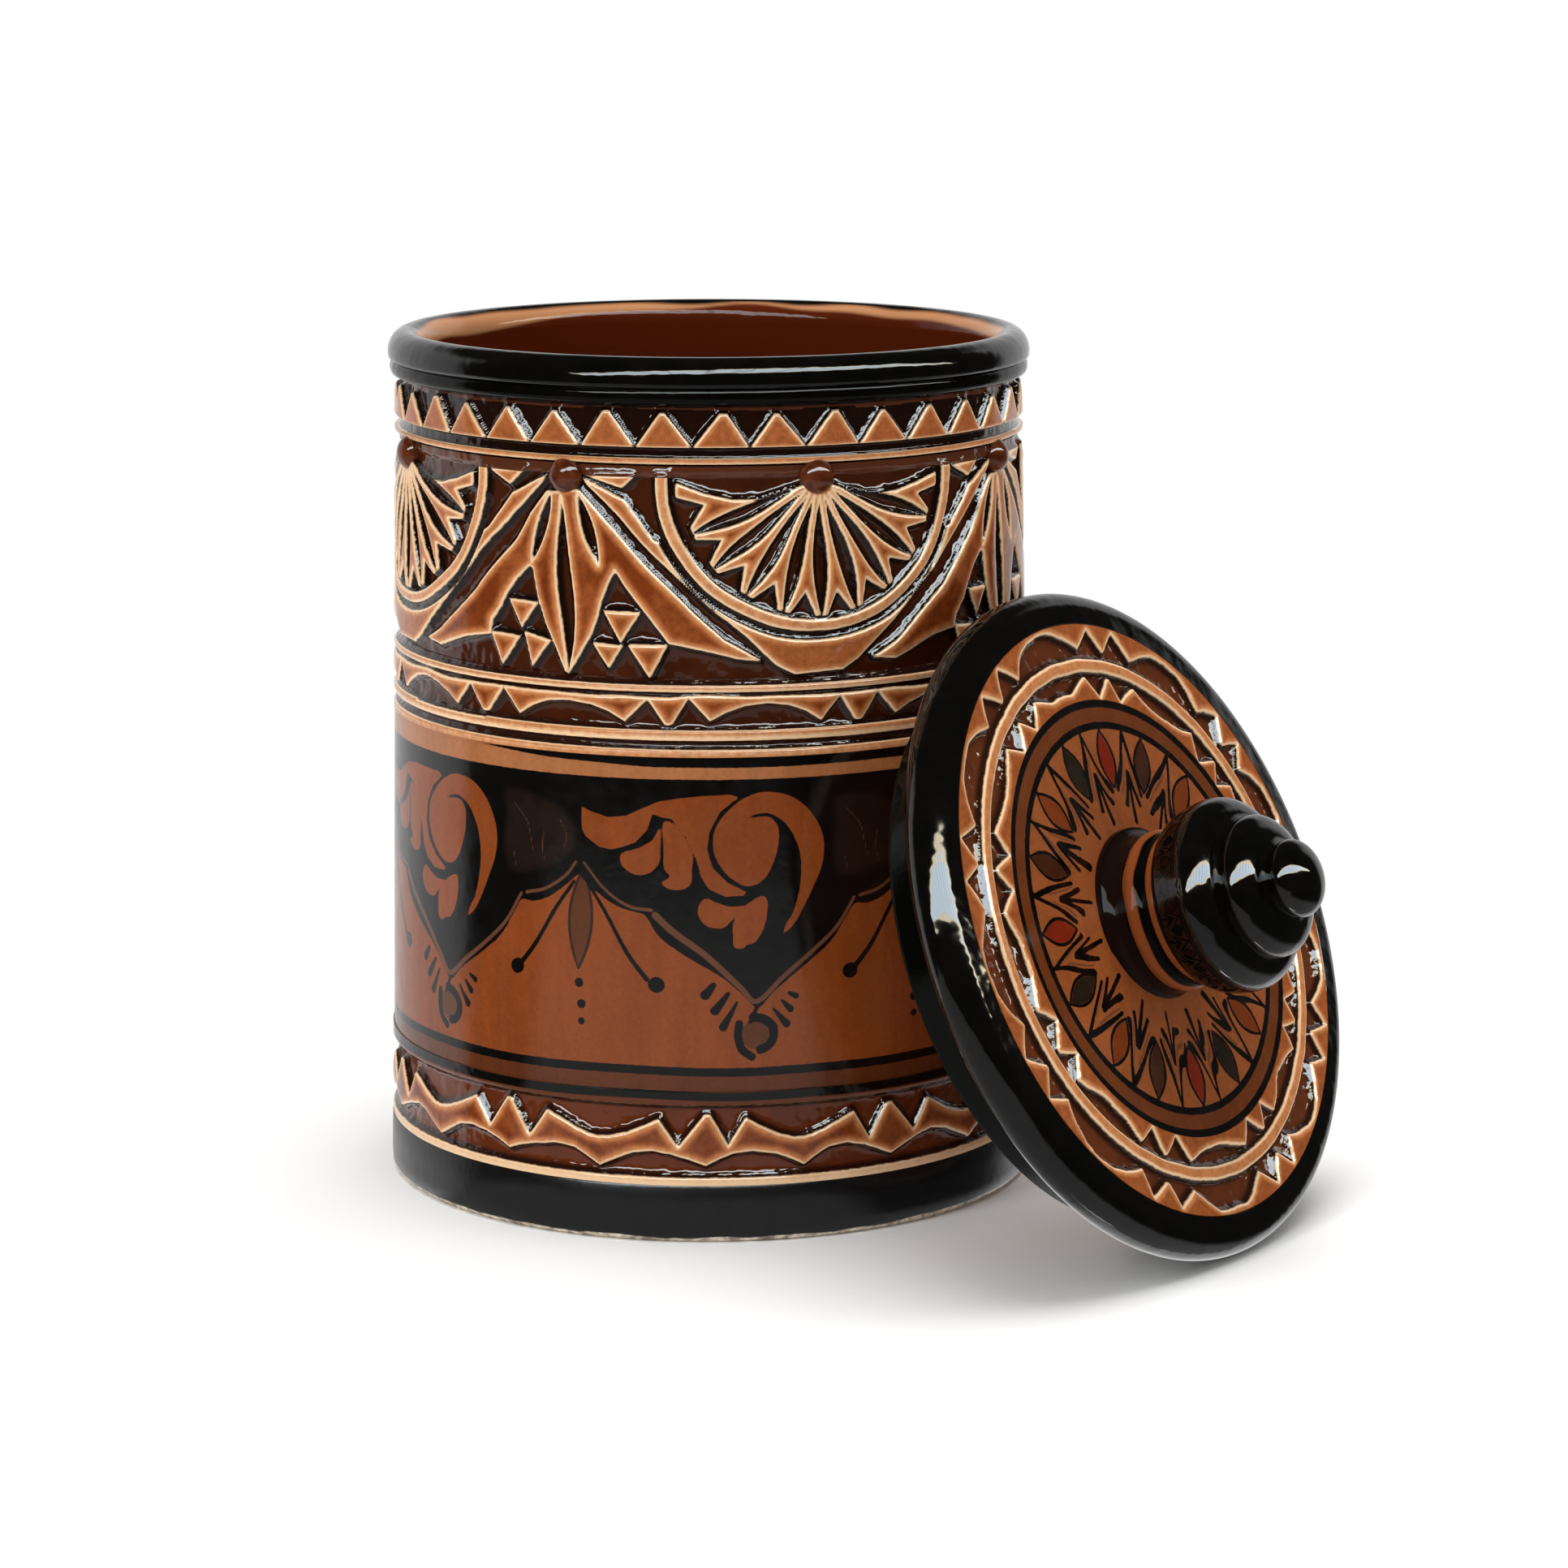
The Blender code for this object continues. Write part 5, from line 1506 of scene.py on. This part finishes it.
class CANISTER_OT_stage(bpy.types.Operator):
    """Sets up the floor, the lights and the camera"""

    bl_idname = "canister.stage"
    bl_label = "Stage"

    def execute(self, context):
        stage = context.scene.canister_stage
        self.world(stage)
        self.floor(stage)
        self.lights()
        self.camera(context, stage)
        context.scene.view_settings.view_transform = "Standard"
        return {"FINISHED"}

    def floor(self, stage):
        half = stage.floor_size / 2
        mesh = bpy.data.meshes.new("studio_floor")
        corners = [(-half, -half, 0.0), (half, -half, 0.0), (half, half, 0.0), (-half, half, 0.0)]
        mesh.from_pydata(corners, [], [(0, 1, 2, 3)])
        material, tree, shader = glaze_material("studio_floor", 0.9)
        tree.give(shader.inputs["Base Color"], tint(244, 243, 241))
        tree.give(shader.inputs["Specular IOR Level"], 0.0)
        place = tree.out("ShaderNodeTexCoord", output="Object")
        middle = tree.out("ShaderNodeVectorMath", {0: place, 1: (-0.03, 0.0, 0.0)}, operation="ADD")
        distance = tree.out("ShaderNodeVectorMath", {0: middle}, "Value", operation="LENGTH")
        white = tree.out("ShaderNodeEmission", {"Color": WHITE, "Strength": 1.0})
        path = tree.node("ShaderNodeLightPath").outputs
        fade = tree.smooth(distance, 0.10, 0.20) * path["Is Camera Ray"]
        seen = tree.mix(fade, shader.outputs[0], white)
        mixed = tree.mix(path["Is Glossy Ray"], seen, self.sheet(tree, place))
        tree.give(material.node_tree.nodes["Material Output"].inputs["Surface"], mixed)
        floor = new_object("studio_floor", mesh, material)

    def sheet(self, tree, place):
        """In reflections the floor is clear, with the room below it, except for a dim sheet in front."""
        east, north, _ = tree.parts(place)
        turn = tree.math("ARCTAN2", east, -north)
        reach = tree.out("ShaderNodeVectorMath", {0: place}, "Value", operation="LENGTH")
        share = tree.between(turn, *SHEET_SIDES, 0.07) * tree.smooth(reach, 0.40, 0.37)
        fold = tree.between(reach, 0.297, 0.314, 0.003) * -0.85 + 1.0
        dim = tree.out("ShaderNodeEmission", {"Color": WHITE, "Strength": 0.42})
        return tree.mix(share * fold, tree.out("ShaderNodeBsdfTransparent"), dim)

    def room(self, tree):
        """What a shiny surface sees: a pale backdrop behind, a window overhead in front, a pale floor."""
        east, north, up = tree.parts(tree.out("ShaderNodeTexCoord", output="Generated"))
        turn = tree.math("ARCTAN2", east, -north)
        backdrop = (1.0 - tree.between(turn, *ROOM_SIDES, 0.09)) * tree.smooth(up, 0.62, 0.42, 0.0, 0.75)
        ground = tree.smooth(up, -0.31, -0.53, 0.0, 0.45)
        height = up.at_least(0.05)
        across = east / height
        along = across * 0.45 - north / height
        far = (across - 1.0).at_least(0.0) * -0.25 + 1.65
        pane = tree.between(across, *WINDOW_SIDES, 0.03) * tree.smooth(along, 0.86, 0.9)
        pane = pane * tree.smooth(far - along, -0.02, 0.02)
        core = tree.between(across, *CORE_SIDES, 0.06) * tree.smooth(along, 0.93, 1.0)
        core = core * tree.smooth(far - along, 0.05, 0.13)
        bar = abs((across + 9.0) % BAR_PITCH - BAR_PITCH / 2)
        pane = pane * tree.smooth(bar, 0.14, 0.12, 0.5, 1.0)
        warm = pane - pane.at_most(core)
        colour = tree.blend(core, WHITE, (0.74, 0.88, 1.0))
        colour = tree.blend(tree.smooth(warm, 0.1, 0.5), colour, (1.0, 0.88, 0.62))
        return backdrop + ground + pane * WINDOW_LIGHT + 0.03, colour

    def world(self, stage):
        world = bpy.data.worlds.new("studio")
        world.use_nodes = True
        tree = Tree(world.node_tree)
        glow, colour = self.room(tree)
        path = tree.node("ShaderNodeLightPath").outputs
        shiny = tree.math("MAXIMUM", path["Is Glossy Ray"], path["Is Transmission Ray"])
        level = (shiny * (glow - stage.fill) + stage.fill).at_least(path["Is Camera Ray"])
        background = world.node_tree.nodes["Background"]
        tree.give(background.inputs["Color"], tree.blend(shiny, WHITE, colour))
        tree.give(background.inputs["Strength"], level)
        bpy.context.scene.world = world

    def lights(self):
        for name, place, target, size, power, colour in (
            ("window", (-0.62, -0.62, 0.62), (0.0, 0.0, 0.08), (0.34, 0.42), 3.0, (0.95, 0.98, 1.0)),
            ("top_soft", (0.1, 0.05, 1.1), (0.02, 0.0, 0.0), (0.9, 0.9), 11.0, (1.0, 1.0, 1.0)),
        ):
            data = bpy.data.lights.new(name, "AREA")
            data.shape = "RECTANGLE"
            data.size, data.size_y = size
            data.energy, data.color = power, colour
            lamp = bpy.data.objects.new(name, data)
            lamp.visible_glossy = False
            bpy.context.scene.collection.objects.link(lamp)
            lamp.location = place
            lamp.rotation_euler = (Vector(target) - Vector(place)).to_track_quat("-Z", "Y").to_euler()

    def camera(self, context, stage):
        data = bpy.data.cameras.new("camera")
        data.sensor_width, data.lens = 36.0, stage.lens
        camera = bpy.data.objects.new("camera", data)
        context.scene.collection.objects.link(camera)
        camera.location = CAMERA_PLACE
        camera.rotation_euler = (stage.camera_tilt, 0.0, 0.0)
        context.scene.camera = camera


OPERATORS = (
    CANISTER_OT_jar_turning, CANISTER_OT_tooth_row, CANISTER_OT_fan_frieze, CANISTER_OT_chip_frieze,
    CANISTER_OT_painted_band, CANISTER_OT_wave_frieze, CANISTER_OT_pellets, CANISTER_OT_lid_turning,
    CANISTER_OT_lid_carving, CANISTER_OT_lid_painting, CANISTER_OT_knob, CANISTER_OT_stage,
)


class CANISTER_PT_panel(bpy.types.Panel):
    """Lists the canister's pieces and settings"""

    bl_idname = "CANISTER_PT_panel"
    bl_label = "Canister"
    bl_space_type = "VIEW_3D"
    bl_region_type = "UI"
    bl_category = "Canister"

    def draw(self, context):
        for settings in (context.scene.canister_sizes, context.scene.canister_glazes, context.scene.canister_stage):
            for name in settings.__annotations__:
                self.layout.prop(settings, name)
        for operator in OPERATORS:
            self.layout.operator(operator.bl_idname)


SETTINGS = (("canister_glazes", CanisterGlazes), ("canister_sizes", CanisterSizes), ("canister_stage", CanisterStage))


def register():
    for name, kind in SETTINGS:
        bpy.utils.register_class(kind)
        setattr(bpy.types.Scene, name, bpy.props.PointerProperty(type=kind))
    for kind in OPERATORS + (CANISTER_PT_panel,):
        bpy.utils.register_class(kind)


def unregister():
    for kind in reversed(OPERATORS + (CANISTER_PT_panel,)):
        bpy.utils.unregister_class(kind)
    for name, kind in reversed(SETTINGS):
        delattr(bpy.types.Scene, name)
        bpy.utils.unregister_class(kind)


def main():
    register()
    carved_glaze_group()
    brushed_paint_group()
    for operator in OPERATORS:
        group, name = operator.bl_idname.split(".")
        getattr(getattr(bpy.ops, group), name)()


if __name__ == "__main__":
    main()
